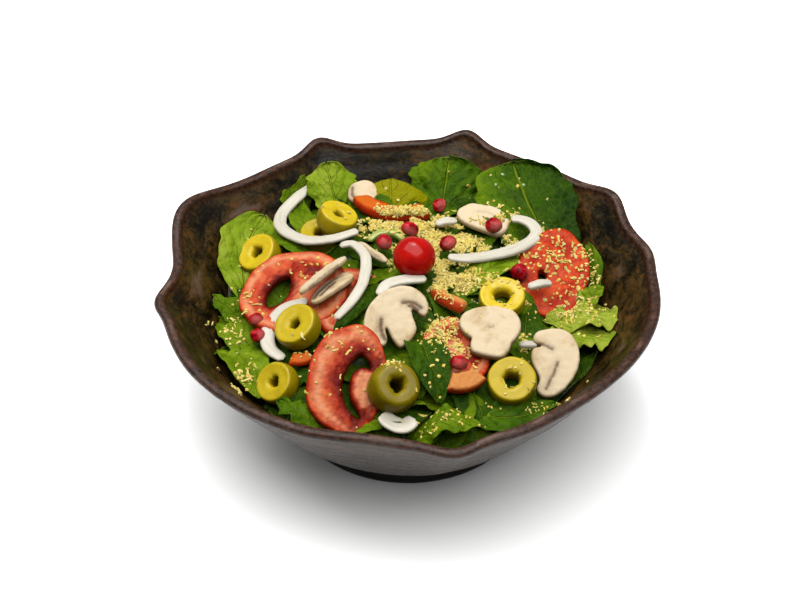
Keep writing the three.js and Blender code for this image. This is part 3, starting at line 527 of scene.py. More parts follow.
def leafShell(leaf, rows, columns, seed):
    leaf, blade = {**usualLeaf, **leaf}, leafBlade
    along = np.linspace(0, 1, rows)[:, None]
    across = np.linspace(-1, 1, columns)[None, :]
    base, middle, tip = (np.array(point, float) for point in leaf["midrib"])
    base[2] = min(base[2], heapHeight(base[0], base[1]) - heap["stemDepth"])
    rib = (1 - along) * (1 - 2 * along) * base + 4 * along * (1 - along) * middle + along * (2 * along - 1) * tip
    forward = unit((4 * along - 3) * base + (4 - 8 * along) * middle + (4 * along - 1) * tip)
    side = unit(np.stack([forward[:, 1], -forward[:, 0], np.zeros(rows)], axis=-1))
    face = np.cross(side, forward)
    roll = math.radians(-leaf["roll"])
    side, face = (vector * math.cos(roll) + np.cross(forward, vector) * math.sin(roll) for vector in (side, face))
    swell = np.sin(math.pi * along ** (math.log(0.5) / math.log(leaf["peak"])))
    half = np.maximum(blade["edge"], leaf["wide"] / 2 * np.clip(swell, 0, 1) ** leaf["fullness"])
    right = across > 0
    phase = np.where(right, 2.1, 0) + seed
    coarse, fine = blade["notchWaves"]
    cut = np.sin(along * coarse + phase) * 0.6 + np.sin(along * fine + phase * 1.7) * 0.4
    half = half * (1 + leaf["notches"] * cut * np.sin(math.pi * along) ** 0.4)
    reach = np.abs(across)
    wave = np.sin(blade["waves"] * along + np.where(right, blade["waveShift"], 0)) * reach ** 1.5
    frill = blade["frill"] * np.sin(blade["frillWaves"] * along + 2.4 * right + seed) * reach ** 4
    slant = blade["veinSlant"] * leaf["wide"] / 30
    course = (along - slant * reach + 0.03 * np.sin(along * 19 + phase)) * leaf["veins"]
    groove = (0.5 + 0.5 * np.cos(circle * course)) ** 3
    quilt = blade["quilt"] * leaf["crinkle"] * (0.4 - groove) * np.sin(math.pi * reach.clip(0, 1)) ** 0.5
    ribLine = -blade["ribDepth"] * np.exp(-((across * half / blade["ribWide"]) ** 2)) * (1 - 0.5 * along)
    lift = leaf["cup"] * half * across ** 2 + leaf["ruffle"] * (wave + frill) + quilt + ribLine
    points = rib[:, None] + side[:, None] * (half * across)[..., None] + face[:, None] * lift[..., None]
    crease = (ripple(points, 8, seed + 50) * 0.42 + ripple(points, 4, seed + 90) * 0.2) * leaf["crinkle"]
    crease += ripple(points, 17, seed) * (0.4 + 0.4 * leaf["crinkle"])
    points = points + face[:, None] * (crease * np.sin(math.pi * along) ** 0.5)[..., None]
    points = keepInside(points, blade["wallGap"])
    normal = unit(np.cross(np.gradient(points, axis=1), np.gradient(points, axis=0)))
    under = points - normal * blade["thick"]
    count = rows * columns
    faces = gridFaces(rows, columns) + gridFaces(rows, columns, count)
    index = np.arange(count).reshape(rows, columns)
    edge = np.concatenate([index[0, :-1], index[:-1, -1], index[-1, :0:-1], index[:0:-1, 0]]).tolist()
    faces += [(here, there, there + count, here + count) for here, there in zip(edge, edge[1:] + edge[:1])]
    uv = np.stack(np.broadcast_arrays(across * 0.5 + 0.5, along), axis=-1).reshape(-1, 2)
    # tint changes across the blade by turned: painted light and shade on a fold
    fields = {
        "tint": np.tile((leaf["tint"] - leaf["turned"] * across + 0 * along).ravel(), 2),
        "under": np.repeat([0.0, 1.0], count),
    }
    for name, value in (("olive", leaf["olive"]), ("veins", leaf["veins"]), ("slant", slant)):
        fields[name] = np.full(2 * count, float(value))
    return np.vstack([points.reshape(-1, 3), under.reshape(-1, 3)]), faces, np.vstack([uv, uv]), fields


def fillerShells():
    given = fillerLeaves
    draw = random.Random(given["seed"])
    shells = []
    for index in range(given["count"]):
        radius = given["inner"] + (given["outer"] - given["inner"]) * math.sqrt((index + 0.5) / given["count"])
        angle = math.radians(index * given["turn"])
        x, y = radius * math.cos(angle), radius * math.sin(angle) + given["middleY"]
        heading = draw.uniform(0, circle)
        length, wide = draw.uniform(*given["long"]), draw.uniform(*given["wide"])
        sink, rise = draw.uniform(*given["sink"]), draw.uniform(-0.5, 2)
        midrib = []
        for step in (-0.5, 0, 0.5):
            px, py = x + length * step * math.cos(heading), y + length * step * math.sin(heading)
            midrib.append((px, py, float(moundHeight(px, py)) - sink + rise * step))
        leaf = dict(
            midrib=midrib, wide=wide, roll=draw.uniform(-14, 14), peak=draw.uniform(0.45, 0.65), cup=0.05,
            ruffle=draw.uniform(0.5, 1.6), tint=draw.uniform(*given["tint"]), notches=draw.choice([0, 0.06, 0.15]),
            veins=draw.choice([4, 5, 6]))
        shells.append(leafShell(leaf, given["rows"], given["columns"], index))
    return shells


def heapMesh():
    # The bed that shows between the leaves; its near-black green is painted shade.
    angle = np.arange(heap["sides"]) * 360 / heap["sides"]
    turn = np.radians(angle)
    level, atSides, behind = heap["edgeRise"]
    edgeRise = level + atSides * np.abs(np.cos(turn)) + behind * np.maximum(0, np.sin(turn))
    wall = heap["wallRings"]
    rows = [wallRow(angle, edgeRise * share, True) - heap["wallGap"] * ring(turn, 1.0)
            for share in np.linspace(0.1, 1, wall)]
    edge = rows[-1]
    for share in np.linspace(0.97, 0.03, heap["rings"]):
        x, y = edge[:, 0] * share, edge[:, 1] * share
        rows.append(np.stack([x, y, heapHeight(x, y) - heap["sink"]], axis=-1))
    grid = np.array(rows)
    grid[wall:, :, 2] += ripple(grid, 11, 3)[wall:] * heap["relief"] * 0.8 - 0.6
    return buildMesh("greensBed", *capped(grid, (0, 0, heap["bottom"]), (0, 0, grid[-1, :, 2].mean())))


def leafMaterial():
    look = materialMaker("freshLeaf", specularIorLevel=0.03, subsurfaceWeight=0.05, subsurfaceScale=0.002,
                         subsurfaceRadius=(0.6, 1.0, 0.2))
    place, flat = look.coordinates(), look.coordinates("UV")
    across, along = (look.make("ShaderNodeSeparateXYZ", {0: flat}, axis) for axis in (0, 1))
    wobble = (look.cloud(place, 70) - 0.5) * 0.22
    sideways = look.maths("ABSOLUTE", (across - 0.5) * 2.0)
    reach = look.maths("ABSOLUTE", sideways + wobble * 0.2)
    course = (along - sideways * look.field("slant") + wobble) * look.field("veins")
    vein = look.band(look.maths("PINGPONG", course, 0.5), 0.01, 0.07, 1, 0)
    cells = {"Vector": place, "Scale": 230}
    net = look.make("ShaderNodeTexVoronoi", cells, "Distance", feature="DISTANCE_TO_EDGE")
    net = look.band(net, 0.02, 0.2, 1, 0)
    lines = look.maths("MAXIMUM", vein * look.band(sideways, 0.15, 1, 0.6, 0.1), look.band(reach, 0.012, 0.055, 1, 0))
    lines = look.maths("MAXIMUM", lines, net * 0.14)
    patches = look.cloud(place, 60, 5, 0.62, 0.5)
    green = look.graded(
        look.field("tint") + (patches - 0.5), (0.0, (0.004, 0.017, 0.0005)), (0.25, (0.014, 0.039, 0.0005)),
        (0.42, (0.027, 0.061, 0.001)), (0.62, (0.056, 0.095, 0.001)), (0.82, (0.098, 0.145, 0.005)),
        (1.0, (0.155, 0.19, 0.018)))
    green = look.blended(look.field("olive"), green, (0.125, 0.118, 0.0002))
    green = look.blended(lines * 0.8, green, look.blended(0.4, green, (0.155, 0.2, 0.01)))
    green = look.blended(look.field("under"), green, look.blended(0.4, green, (0.11, 0.15, 0.03)))
    look.bumped(look.cloud(place, 260, 4) * 0.9 - lines * 0.6, 0.0018)
    return look.finished(green, look.band(patches, 0.3, 0.7, 0.36, 0.55))


def bedMaterial():
    look = materialMaker("deepGreens", roughness=0.5)
    patches = look.cloud(look.coordinates(), 55, 5, 0.65, 1.2)
    look.bumped(patches, 0.003)
    # near-black greens: painted shade in the gaps between the leaves
    return look.finished(look.graded(
        patches, (0.35, (0.003, 0.009, 0.001)), (0.5, (0.009, 0.0275, 0.0025)), (0.68, (0.025, 0.06, 0.005))))


freshLeaf = leafMaterial()
addPiece("greensBed", heapMesh(), bedMaterial(), ["greens"])
addPiece("leavesBetween", buildMesh("leavesBetween", *joined(fillerShells())), freshLeaf)
for index, (name, leaf) in enumerate(leaves.items()):
    shell = leafShell(leaf, leafBlade["rows"], leafBlade["columns"], leafBlade["firstSeed"] + index)
    addPiece(name, buildMesh(name, *shell), freshLeaf)
print("greens ready")


def spaced(line, spacing, closed=False):
    # Even steps along a line; gives its length as well.
    line = np.vstack([line, line[:1]]) if closed else line
    lengths = np.concatenate([[0], np.cumsum(np.linalg.norm(np.diff(line, axis=0), axis=1))])
    count = max(8, int(lengths[-1] / spacing + 0.5 * closed))
    at = np.linspace(0, lengths[-1], count, endpoint=not closed)
    return np.stack([np.interp(at, lengths, values) for values in line.T], -1), lengths[-1]


def within(points, loop):
    x, y = points[:, 0:1], points[:, 1:2]
    ax, ay = loop[None, :, 0], loop[None, :, 1]
    bx, by = np.roll(ax, -1), np.roll(ay, -1)
    crosses = ((ay > y) != (by > y)) & (x < (bx - ax) * (y - ay) / np.where(by == ay, 1e-9, by - ay) + ax)
    return crosses.sum(axis=1) % 2 == 1


def gapTo(points, loop):
    run = np.roll(loop, -1, axis=0)[None] - loop[None]
    away = points[:, None] - loop[None]
    share = np.clip((away * run).sum(-1) / np.maximum((run * run).sum(-1), 1e-9), 0, 1)
    return np.linalg.norm(away - run * share[..., None], axis=-1).min(axis=1)


def slab(outline, holes, thick, spacing, bevel, belly, steps=3):
    # A closed slice with rounded edges. Gives its points, faces, the distance to its outline and to its
    # nearest hole, and its layer: 1 on top, 0 on the sides, -1 underneath.
    loops = [spaced(loop, spacing, True)[0] for loop in [outline, *holes]]

    def solid(points, gap=-1.0):
        kept = within(points, loops[0]) & (gapTo(points, loops[0]) > gap)
        for hole in loops[1:]:
            kept &= ~within(points, hole) & (gapTo(points, hole) > gap)
        return kept

    low, high = loops[0].min(axis=0), loops[0].max(axis=0)
    seeds = np.array([
        (x + (row % 2) * spacing / 2, y) for row, y in enumerate(np.arange(low[1], high[1], spacing * 0.87))
        for x in np.arange(low[0], high[0], spacing)
    ])
    edges, outward = [], []
    for loop in loops:
        start = len(edges)
        edges += [(start + i, start + (i + 1) % len(loop)) for i in range(len(loop))]
        tangent = unit(np.roll(loop, -1, axis=0) - np.roll(loop, 1, axis=0))
        area = (loop[:, 0] * np.roll(loop[:, 1], -1) - np.roll(loop[:, 0], -1) * loop[:, 1]).sum()
        turned = 1 if (area > 0) == (start == 0) else -1
        outward.append(np.stack([tangent[:, 1], -tangent[:, 0]], axis=-1) * turned)
    flat = np.vstack([*loops, seeds[solid(seeds, spacing * 0.6)]])
    vertices, _, triangles, *_ = delaunay_2d_cdt([Vector(point) for point in flat], edges, [], 0, 1e-7)
    flat = np.array([tuple(vertex) for vertex in vertices])
    triangles = np.array([tuple(triangle) for triangle in triangles])
    triangles = triangles[solid(flat[triangles].mean(axis=1))].tolist()
    outer = gapTo(flat, loops[0])
    inner = np.min([np.full(len(flat), 99.0)] + [gapTo(flat, hole) for hole in loops[1:]], axis=0)
    slope = 1 - np.clip(np.minimum(outer, inner) / bevel, 0, 1)
    drop = bevel * (1 - np.sqrt(1 - slope ** 2))
    half, count, rim = thick / 2, len(flat), len(edges)
    layers = [np.column_stack([flat, half - drop]), np.column_stack([flat, drop - half])]
    for share in np.arange(1, steps + 1) / (steps + 1):
        bulged = flat[:rim] + np.vstack(outward) * belly * math.sin(math.pi * share)
        layers.append(np.column_stack([bulged, np.full(rim, (half - bevel) * (1 - 2 * share))]))
    faces = triangles + [(a + count, c + count, b + count) for a, b, c in triangles]
    rings = [0] + [2 * count + step * rim for step in range(steps)] + [count]
    for a, b in edges:
        faces += [(a + upper, a + lower, b + lower, b + upper) for upper, lower in zip(rings, rings[1:])]
    gaps = [np.concatenate([gap, gap] + [gap[:rim]] * steps) for gap in (outer, inner)]
    return np.vstack(layers), faces, *gaps, np.repeat([1, -1, 0], [count, count, steps * rim])


def ball(detail):
    work = bmesh.new()
    bmesh.ops.create_icosphere(work, subdivisions=detail, radius=1)
    points = np.array([tuple(vertex.co) for vertex in work.verts])
    faces = [tuple(vertex.index for vertex in face.verts) for face in work.faces]
    work.free()
    return points, faces


def smoothLoop(loop, rounds=3):
    loop = np.asarray(loop, float)
    for _ in range(rounds):
        after = np.roll(loop, -1, axis=0)
        loop = np.stack([loop * 0.75 + after * 0.25, loop * 0.25 + after * 0.75], axis=1).reshape(-1, 2)
    return loop


# chambers: seed pockets as angle, half-angle, radii from 0 to 1, and whether they go right through.
# hole: a traced opening, with lobe the flesh that reaches into it; gelWide: the wet band along an opening.
# middle: how pale the core is; wall: how deep the pale flesh lies; swollen: a bulge at an angle; ripe: how red it is.
usualSlice = {"gelWide": 2.4, "lobe": (99, 99), "middle": 1, "wall": 3.4, "swollen": (0, 0), "ripe": 0, "pips": 7}
tomatoSlices = {
    "tomato_left_low": dict(at=(-27, -3, 67), lean=12, toward=300, spin=0, wide=42, long=44, thick=5, chambers=[(60,
        22, 0.4, 0.68, True), (180, 34, 0.3, 0.74, False), (300, 30, 0.3, 0.74, False)]),
    "tomato_left": dict(at=(-56, 4, 69), lean=14, toward=240, spin=20, wide=54, long=50, thick=5, chambers=[(40, 36,
        0.3, 0.76, False), (250, 36, 0.28, 0.76, False)], gelWide=5, hole=[(1, 10.6), (-2.5, 11.2), (-6, 10.2),
        (-9.8, 7.8), (-13, 4.2), (-15, 0.4), (-15.4, -3), (-13, -4.8), (-8.8, -4.6), (-5, -2.8), (-2, 0.4),
        (0.2, 4.6), (1.4, 8.4)]),
    "tomato_centre": dict(at=(23, -36, 65.5), lean=22, toward=275, spin=30, wide=32, long=36, thick=5, chambers=[(200,
        20, 0.4, 0.64, True), (70, 36, 0.3, 0.76, False), (320, 34, 0.3, 0.76, False)]),
    "tomato_right": dict(at=(72, 22, 65.5), lean=26, toward=285, spin=-12, wide=36, long=50, thick=8, chambers=[(205,
        26, 0.16, 0.42, True), (80, 40, 0.3, 0.78, False), (320, 44, 0.3, 0.78, False), (200, 34, 0.12, 0.7, False)],
        ripe=0.85),
    "tomato_front": dict(at=(-29, -54, 65), lean=33, toward=287, spin=-12, wide=37, long=53, thick=6, chambers=[],
        gelWide=9, lobe=(7.5, -4), wall=5, swollen=(-48, 0.17), middle=0, hole=[(2.6, 13.1), (0.2, 8.5), (-1.6, 2.8),
        (-1.8, -3.6), (0, -9.4), (3.2, -14.2), (7.9, -17.8), (11.2, -18.7), (10.9, -16.2), (7, -12.4), (3.7, -8.3),
        (2, -3.2), (2, 2), (4, 5.8), (7.4, 6.9), (10.5, 6.6), (9, 9.9), (5.8, 12.8)]),
}

tomatoWedges = {
    "tomato_back": dict(at=(-11, 64, 73), lean=10, toward=100, spin=-115, radius=28, wide=9.5, span=102, thick=6,
        warm=1.0),
    "tomato_band": dict(at=(18, -9, 76), lean=30, toward=60, spin=-150, radius=26, wide=7, span=66, thick=6,
        warm=0.75, peach=0.85),
    "tomato_chunk": dict(at=(27, -56, 64), lean=30, toward=285, spin=-70, radius=17, wide=9, span=70, thick=7,
        warm=0.6, peach=0.75),
    "tomato_scrap": dict(at=(-51, -38, 62.5), lean=20, toward=270, spin=-80, radius=14, wide=6, span=52, thick=4,
        warm=0.9),
}


def chamberLoop(piece, chamber, seed):
    at, half, near, far, _ = chamber
    draw = np.random.default_rng(seed)
    sweep, squeeze = np.linspace(-1, 1, 12), 0.5 * (far - near)
    sides = [(far + near) / 2 + side * squeeze * (1 - 0.25 * sweep ** 2) + draw.uniform(-0.02, 0.02, 12)
             for side in (1, -1)]
    outer, inner = (ring(np.radians(at + half * sweep), radius)[:, :2] for radius in sides)
    return smoothLoop(np.concatenate([outer, inner[::-1]]) * (piece["wide"] / 2, piece["long"] / 2))


def tomatoSliceMesh(name, piece, seed):
    piece = {**usualSlice, **piece}
    halfWide, halfLong = piece["wide"] / 2, piece["long"] / 2
    turn = around(120)
    lobe = 1 + 0.022 * np.cos(5 * turn + piece["wide"]) + 0.008 * np.sin(9 * turn + seed)
    swollenAt, swollenBy = piece["swollen"]
    away = np.abs((turn - math.radians(swollenAt) + math.pi) % circle - math.pi)
    lobe = lobe + swollenBy * np.exp(-((away / 0.5) ** 2))
    outline = ring(turn, lobe)[:, :2] * (halfWide, halfLong)
    loops = [(chamberLoop(piece, chamber, seed + i), chamber[4]) for i, chamber in enumerate(piece["chambers"])]
    opened = [loop for loop, through in loops if through]
    opened += [smoothLoop(piece["hole"])] if "hole" in piece else []
    points, faces, outer, inner, layer = slab(outline, opened, piece["thick"], spacing=0.85, bevel=0.6, belly=0.3)
    flat = points[:, :2]
    fromLobe = np.hypot(*((flat - piece["lobe"]) / (1, 1.5)).T)
    onLobe = np.clip((8 - fromLobe) / 1.5, 0, 1)
    gelWide = piece["gelWide"] * (1 - 0.68 * onLobe) * (1 + 0.3 * ripple(flat, 3.4, seed + 6))
    gel = np.clip(1.15 - inner / gelWide, 0, 1)
    for loop in (loop for loop, through in loops if not through):
        gap = gapTo(flat, loop) * np.where(within(flat, loop), 1, -1)
        gel = np.maximum(gel, np.clip(0.5 + gap / 1.6, 0, 0.72))
    gel = gel * (1 - 0.8 * piece["ripe"])
    radius = np.hypot(flat[:, 0] / halfWide, flat[:, 1] / halfLong)
    middle = np.exp(-((radius / 0.3) ** 2)) * piece["middle"]
    wall = piece["wall"]
    flesh = np.exp(-(((outer - wall * (1 + 0.25 * ripple(flat, 7, seed + 2))) / (wall * 0.45)) ** 2))
    skin = np.clip(1 - outer / 0.8, 0, 1)
    relief = ripple(flat, 6, seed) * 0.26 + ripple(flat, 2.6, seed + 9) * 0.16
    wet = gel * (0.5 + 0.35 * ripple(flat, 3.2, seed + 4))
    points[:, 2] += np.where(layer == 1, relief * (1 - skin) - wet, 0) + np.where(layer == -1, relief, 0)
    points[:, 2] += 0.6 * (0.0006 * halfLong ** 2 - 0.0011 * (flat ** 2).sum(axis=1))
    zeros = np.zeros(len(points))
    fields = {"skin": skin, "gel": gel, "core": np.maximum.reduce([middle, onLobe, flesh]) * (1 - gel), "warm": zeros,
              "seed": zeros, "ripe": zeros + piece["ripe"], "peach": zeros}
    parts = [(points, faces, None, fields)]
    pip, pipFaces = ball(2)
    draw = np.random.default_rng(seed + 77)
    for at, half, near, far, through in piece["chambers"]:
        for _ in range(0 if through else piece["pips"]):  # pips lie along the chamber's edges
            turn = math.radians(at + half * draw.uniform(-0.8, 0.8))
            radius = near + (far - near) * draw.choice([draw.uniform(0.06, 0.22), draw.uniform(0.78, 0.9)])
            spot = (radius * halfWide * math.cos(turn), radius * halfLong * math.sin(turn), piece["thick"] / 2 - 0.35)
            grain = settle(pip * (1.35, 0.85, 0.5), spot, 12, draw.uniform(0, 360), draw.uniform(0, 180))
            parts.append((grain, pipFaces, None, {key: np.full(len(grain), key in ("gel", "seed")) for key in fields}))
    points, faces, _, fields = joined(parts)
    return settledMesh(name, piece, points, faces, fields)


def tomatoWedgeMesh(name, piece, seed):
    half = math.radians(piece["span"] / 2)
    arc = np.linspace(-half, half, 40)
    inner = piece["radius"] - piece["wide"]
    shift = piece["radius"] - piece["wide"] / 2
    waver = 1 + 0.05 * np.sin(np.linspace(0, 9, 40) + seed)
    outline = np.vstack([ring(arc, piece["radius"]), ring(arc[::-1] * 0.97, inner * waver)])[:, :2] - (shift, 0)
    points, faces, _, _, layer = slab(outline, [], piece["thick"], spacing=0.8, bevel=1.2, belly=0.4)
    flat = points[:, :2]
    radius = np.hypot(flat[:, 0] + shift, flat[:, 1])
    peach = piece.get("peach", 0)
    gel = np.clip(1 - (radius - inner) / (piece["wide"] * 0.3), 0, 1) * 0.8 * (1 - peach)
    points[:, 2] += np.where(layer == 1, ripple(flat, 4, seed) * 0.2 + ripple(flat, 2, seed + 9) * 0.08, 0)
    zeros = np.zeros(len(points))
    fields = {"skin": np.clip(1 - (piece["radius"] - radius) / 1.1, 0, 1), "gel": gel, "core": zeros,
              "warm": zeros + piece["warm"], "seed": zeros, "ripe": zeros, "peach": zeros + peach}
    return settledMesh(name, piece, points, faces, fields)


def tomatoMaterial():
    look = materialMaker("tomatoFlesh", specularIorLevel=0.04, coatWeight=0.02, coatRoughness=0.08,
                         subsurfaceWeight=0.1, subsurfaceScale=0.002, subsurfaceRadius=(1.0, 0.3, 0.15))
    place, gelShare = look.coordinates(), look.field("gel")
    patches = look.cloud(place, 110, 5, 0.65, 0.7)
    fibres = look.cloud(place, 480, 3, 0.6, 0.2)
    flesh = look.graded(
        patches, (0.36, (0.2, 0.007, 0.001)), (0.47, (0.28, 0.022, 0.004)), (0.6, (0.34, 0.07, 0.02)))
    flesh = look.blended(fibres * 0.25, flesh, (0.3, 0.1, 0.04))
    flesh = look.blended(look.field("core") * 0.7, flesh, (0.39, 0.17, 0.082))
    red = look.blended(look.band(patches, 0.4, 0.6), (0.21, 0.008, 0.001), (0.35, 0.034, 0.006))
    flesh = look.blended(look.field("ripe"), flesh, red)
    flesh = look.blended(look.field("warm") * 0.85, flesh, (0.31, 0.06, 0.0015))
    flesh = look.blended(look.field("peach"), flesh, (0.335, 0.15, 0.04))
    gel = look.graded(
        patches, (0.4, (0.07, 0.0018, 0.0003)), (0.5, (0.135, 0.0042, 0.0006)), (0.6, (0.215, 0.013, 0.002)))
    gel = look.blended(look.band(gelShare, 0.75, 1, 0, 0.75), gel, (0.03, 0.0008, 0.0002))
    flesh = look.blended(look.band(gelShare, 0.08, 0.85, 0, 0.97), flesh, gel)
    flesh = look.blended(look.field("skin") * 0.9, flesh, (0.225, 0.01, 0.0015))
    look.bumped(fibres + patches, 0.0008, 0.8)
    colour = look.blended(look.field("seed"), flesh, (0.3, 0.135, 0.035))
    return look.finished(colour, look.band(fibres, 0.3, 0.7, 0.24, 0.45))


tomatoFlesh = tomatoMaterial()
addFood(tomatoSlices, tomatoSliceMesh, tomatoFlesh, seedStep=10, firstSeed=3)
addFood(tomatoWedges, tomatoWedgeMesh, tomatoFlesh, seedStep=10, firstSeed=5)
print("tomato ready")


olives = {
    "olive_left": dict(at=(-75, 40, 64), lean=33, toward=210, radius=11, hole=3.2, thick=9, ripe=0.9),
    "olive_back_low": dict(at=(-45, 50, 69), lean=5, toward=270, radius=10.2, hole=3, thick=7, ripe=0.55),
    "olive_back": dict(at=(-36, 52, 78), lean=20, toward=5, radius=10.4, hole=2.6, thick=9, ripe=0.85),
    "olive_mid_left": dict(at=(-53, -23, 70), lean=30, toward=210, radius=11.4, hole=2.8, thick=9, ripe=0.7),
    "olive_front_left": dict(at=(-62, -50, 58), lean=42, toward=219, radius=10.2, hole=2.8, thick=8.5, ripe=0.68),
    "olive_whole": dict(at=(-7, -62, 66), lean=39, toward=294, radius=12.2, hole=3.7, thick=19, ripe=0.36),
    "olive_ring_right": dict(at=(46, -3, 71.5), lean=12, toward=270, radius=11.5, hole=4.6, thick=7, ripe=0.95),
    "olive_front_right": dict(at=(49, -52, 61), lean=26, toward=270, radius=11.8, hole=4.2, thick=9, ripe=0.66),
}
oliveForm = {"sides": 72, "cutRows": 7, "sideRows": 18, "holeRows": 8, "bulge": 1.25, "wobble": 0.22, "thinnest": 12}


def oliveMesh(name, piece, seed):
    radius, thick, hole = piece["radius"], piece["thick"], piece["hole"]
    half, lip, thin = thick / 2, hole + 0.35, float(thick < oliveForm["thinnest"])

    def shoulderAt(z):
        return radius * math.sqrt(max(0.35, 1 - (z / (radius * oliveForm["bulge"])) ** 2))

    width = shoulderAt(half) * 0.93 - lip
    cutShares = np.linspace(0, 1, oliveForm["cutRows"])
    rows = []  # radius, height, how freshly cut, how deep in the hole
    for share in cutShares:
        z = half - 0.35 * math.sin(math.pi * share) * thin - 0.9 * (1 - share) ** 6
        rows.append((lip + width * share, z, thin, 0))
    for step in range(1, oliveForm["sideRows"]):
        z = half - thick * step / oliveForm["sideRows"]
        ease = min(1, (half - abs(z)) / 1.4)
        rows.append((shoulderAt(z) * (0.93 + 0.07 * math.sqrt(max(0, 1 - (1 - ease) ** 2))), z, 0, 0))
    rows += [(lip + width * share, -half, 1, 0) for share in cutShares[::-1]]
    for share in np.linspace(0, 1, oliveForm["holeRows"]):
        deep = math.sin(math.pi * min(1, share + 0.02)) ** 0.5 if share < 0.97 else 0.1
        rows.append((hole * (0.78 + 0.22 * max(0, 2 * share - 1) ** 2), 0.3 - half + (thick - 1.9) * share, 0.6, deep))
    out, up, cut, deep = np.array(rows, float).T
    turn = around(oliveForm["sides"])
    grid = ring(turn, out[:, None], up[:, None])
    lump = ripple(grid, 12, seed) * oliveForm["wobble"] + ripple(grid, 4, seed + 3) * 0.06
    pushed = np.hypot(grid[..., 0], grid[..., 1])
    grid[..., :2] *= (1 + lump / np.maximum(pushed, 1))[..., None]
    grid[..., 2] += ripple(grid, 7, seed + 6) * 0.12
    torn = 0.07 * np.sin(3 * turn + seed) + 0.05 * np.sin(5 * turn + 2.3 * seed) + 0.03 * np.sin(9 * turn + seed)
    grid[..., :2] *= (1 + torn * np.exp(-(((pushed - hole) / 1.3) ** 2)))[..., None]
    grid = np.concatenate([grid, grid[:1]])  # the hole's wall closes on the first row
    rows, columns = grid.shape[:2]
    count = (rows - 1) * columns
    faces = [[index % count for index in face] for face in gridFaces(rows, columns, closed=True)]
    fields = {"cut": np.repeat(cut, columns), "deep": np.repeat(deep, columns), "ripe": np.full(count, piece["ripe"])}
    return settledMesh(name, piece, grid.reshape(-1, 3)[:count], faces, fields)


def oliveMaterial():
    look = materialMaker("brinedOlive", specularIorLevel=0.1, coatWeight=0.08, coatRoughness=0.1,
                         subsurfaceWeight=0.1, subsurfaceScale=0.003, subsurfaceRadius=(1.0, 0.9, 0.2))
    place, cut = look.coordinates(), look.field("cut")
    patches = look.cloud(place, 120, 4, 0.6, 0.4)
    specks = look.cloud(place, 900, 2)
    skin = look.graded(
        look.field("ripe") + (patches - 0.5) * 0.7, (0.0, (0.0713, 0.054, 0.0004)), (0.35, (0.1457, 0.109, 0.0008)),
        (0.75, (0.2528, 0.186, 0.0016)), (1.0, (0.3372, 0.242, 0.0036)))
    dark = look.blended(0.5, skin, (0.085, 0.064, 0.0006))
    skin = look.blended(look.band(cut, 0.1, 0.5, 1, 0), skin, dark)
    colour = look.blended(cut * 0.6, skin, look.blended(0.4, skin, (0.4, 0.295, 0.018)))
    # the hole darkens with its depth: painted shade inside the hole
    colour = look.blended(look.field("deep") * 0.85, colour, (0.062, 0.033, 0.0012))
    colour = look.blended(look.band(specks, 0.6, 0.72, 0, 0.25), colour, (0.124, 0.084, 0.0018))
    look.bumped(specks, 0.0003, 0.4)
    return look.finished(colour, look.band(patches, 0.3, 0.7, 0.22, 0.36))


addFood(olives, oliveMesh, oliveMaterial(), seedStep=7, firstSeed=2)
print("olives ready")
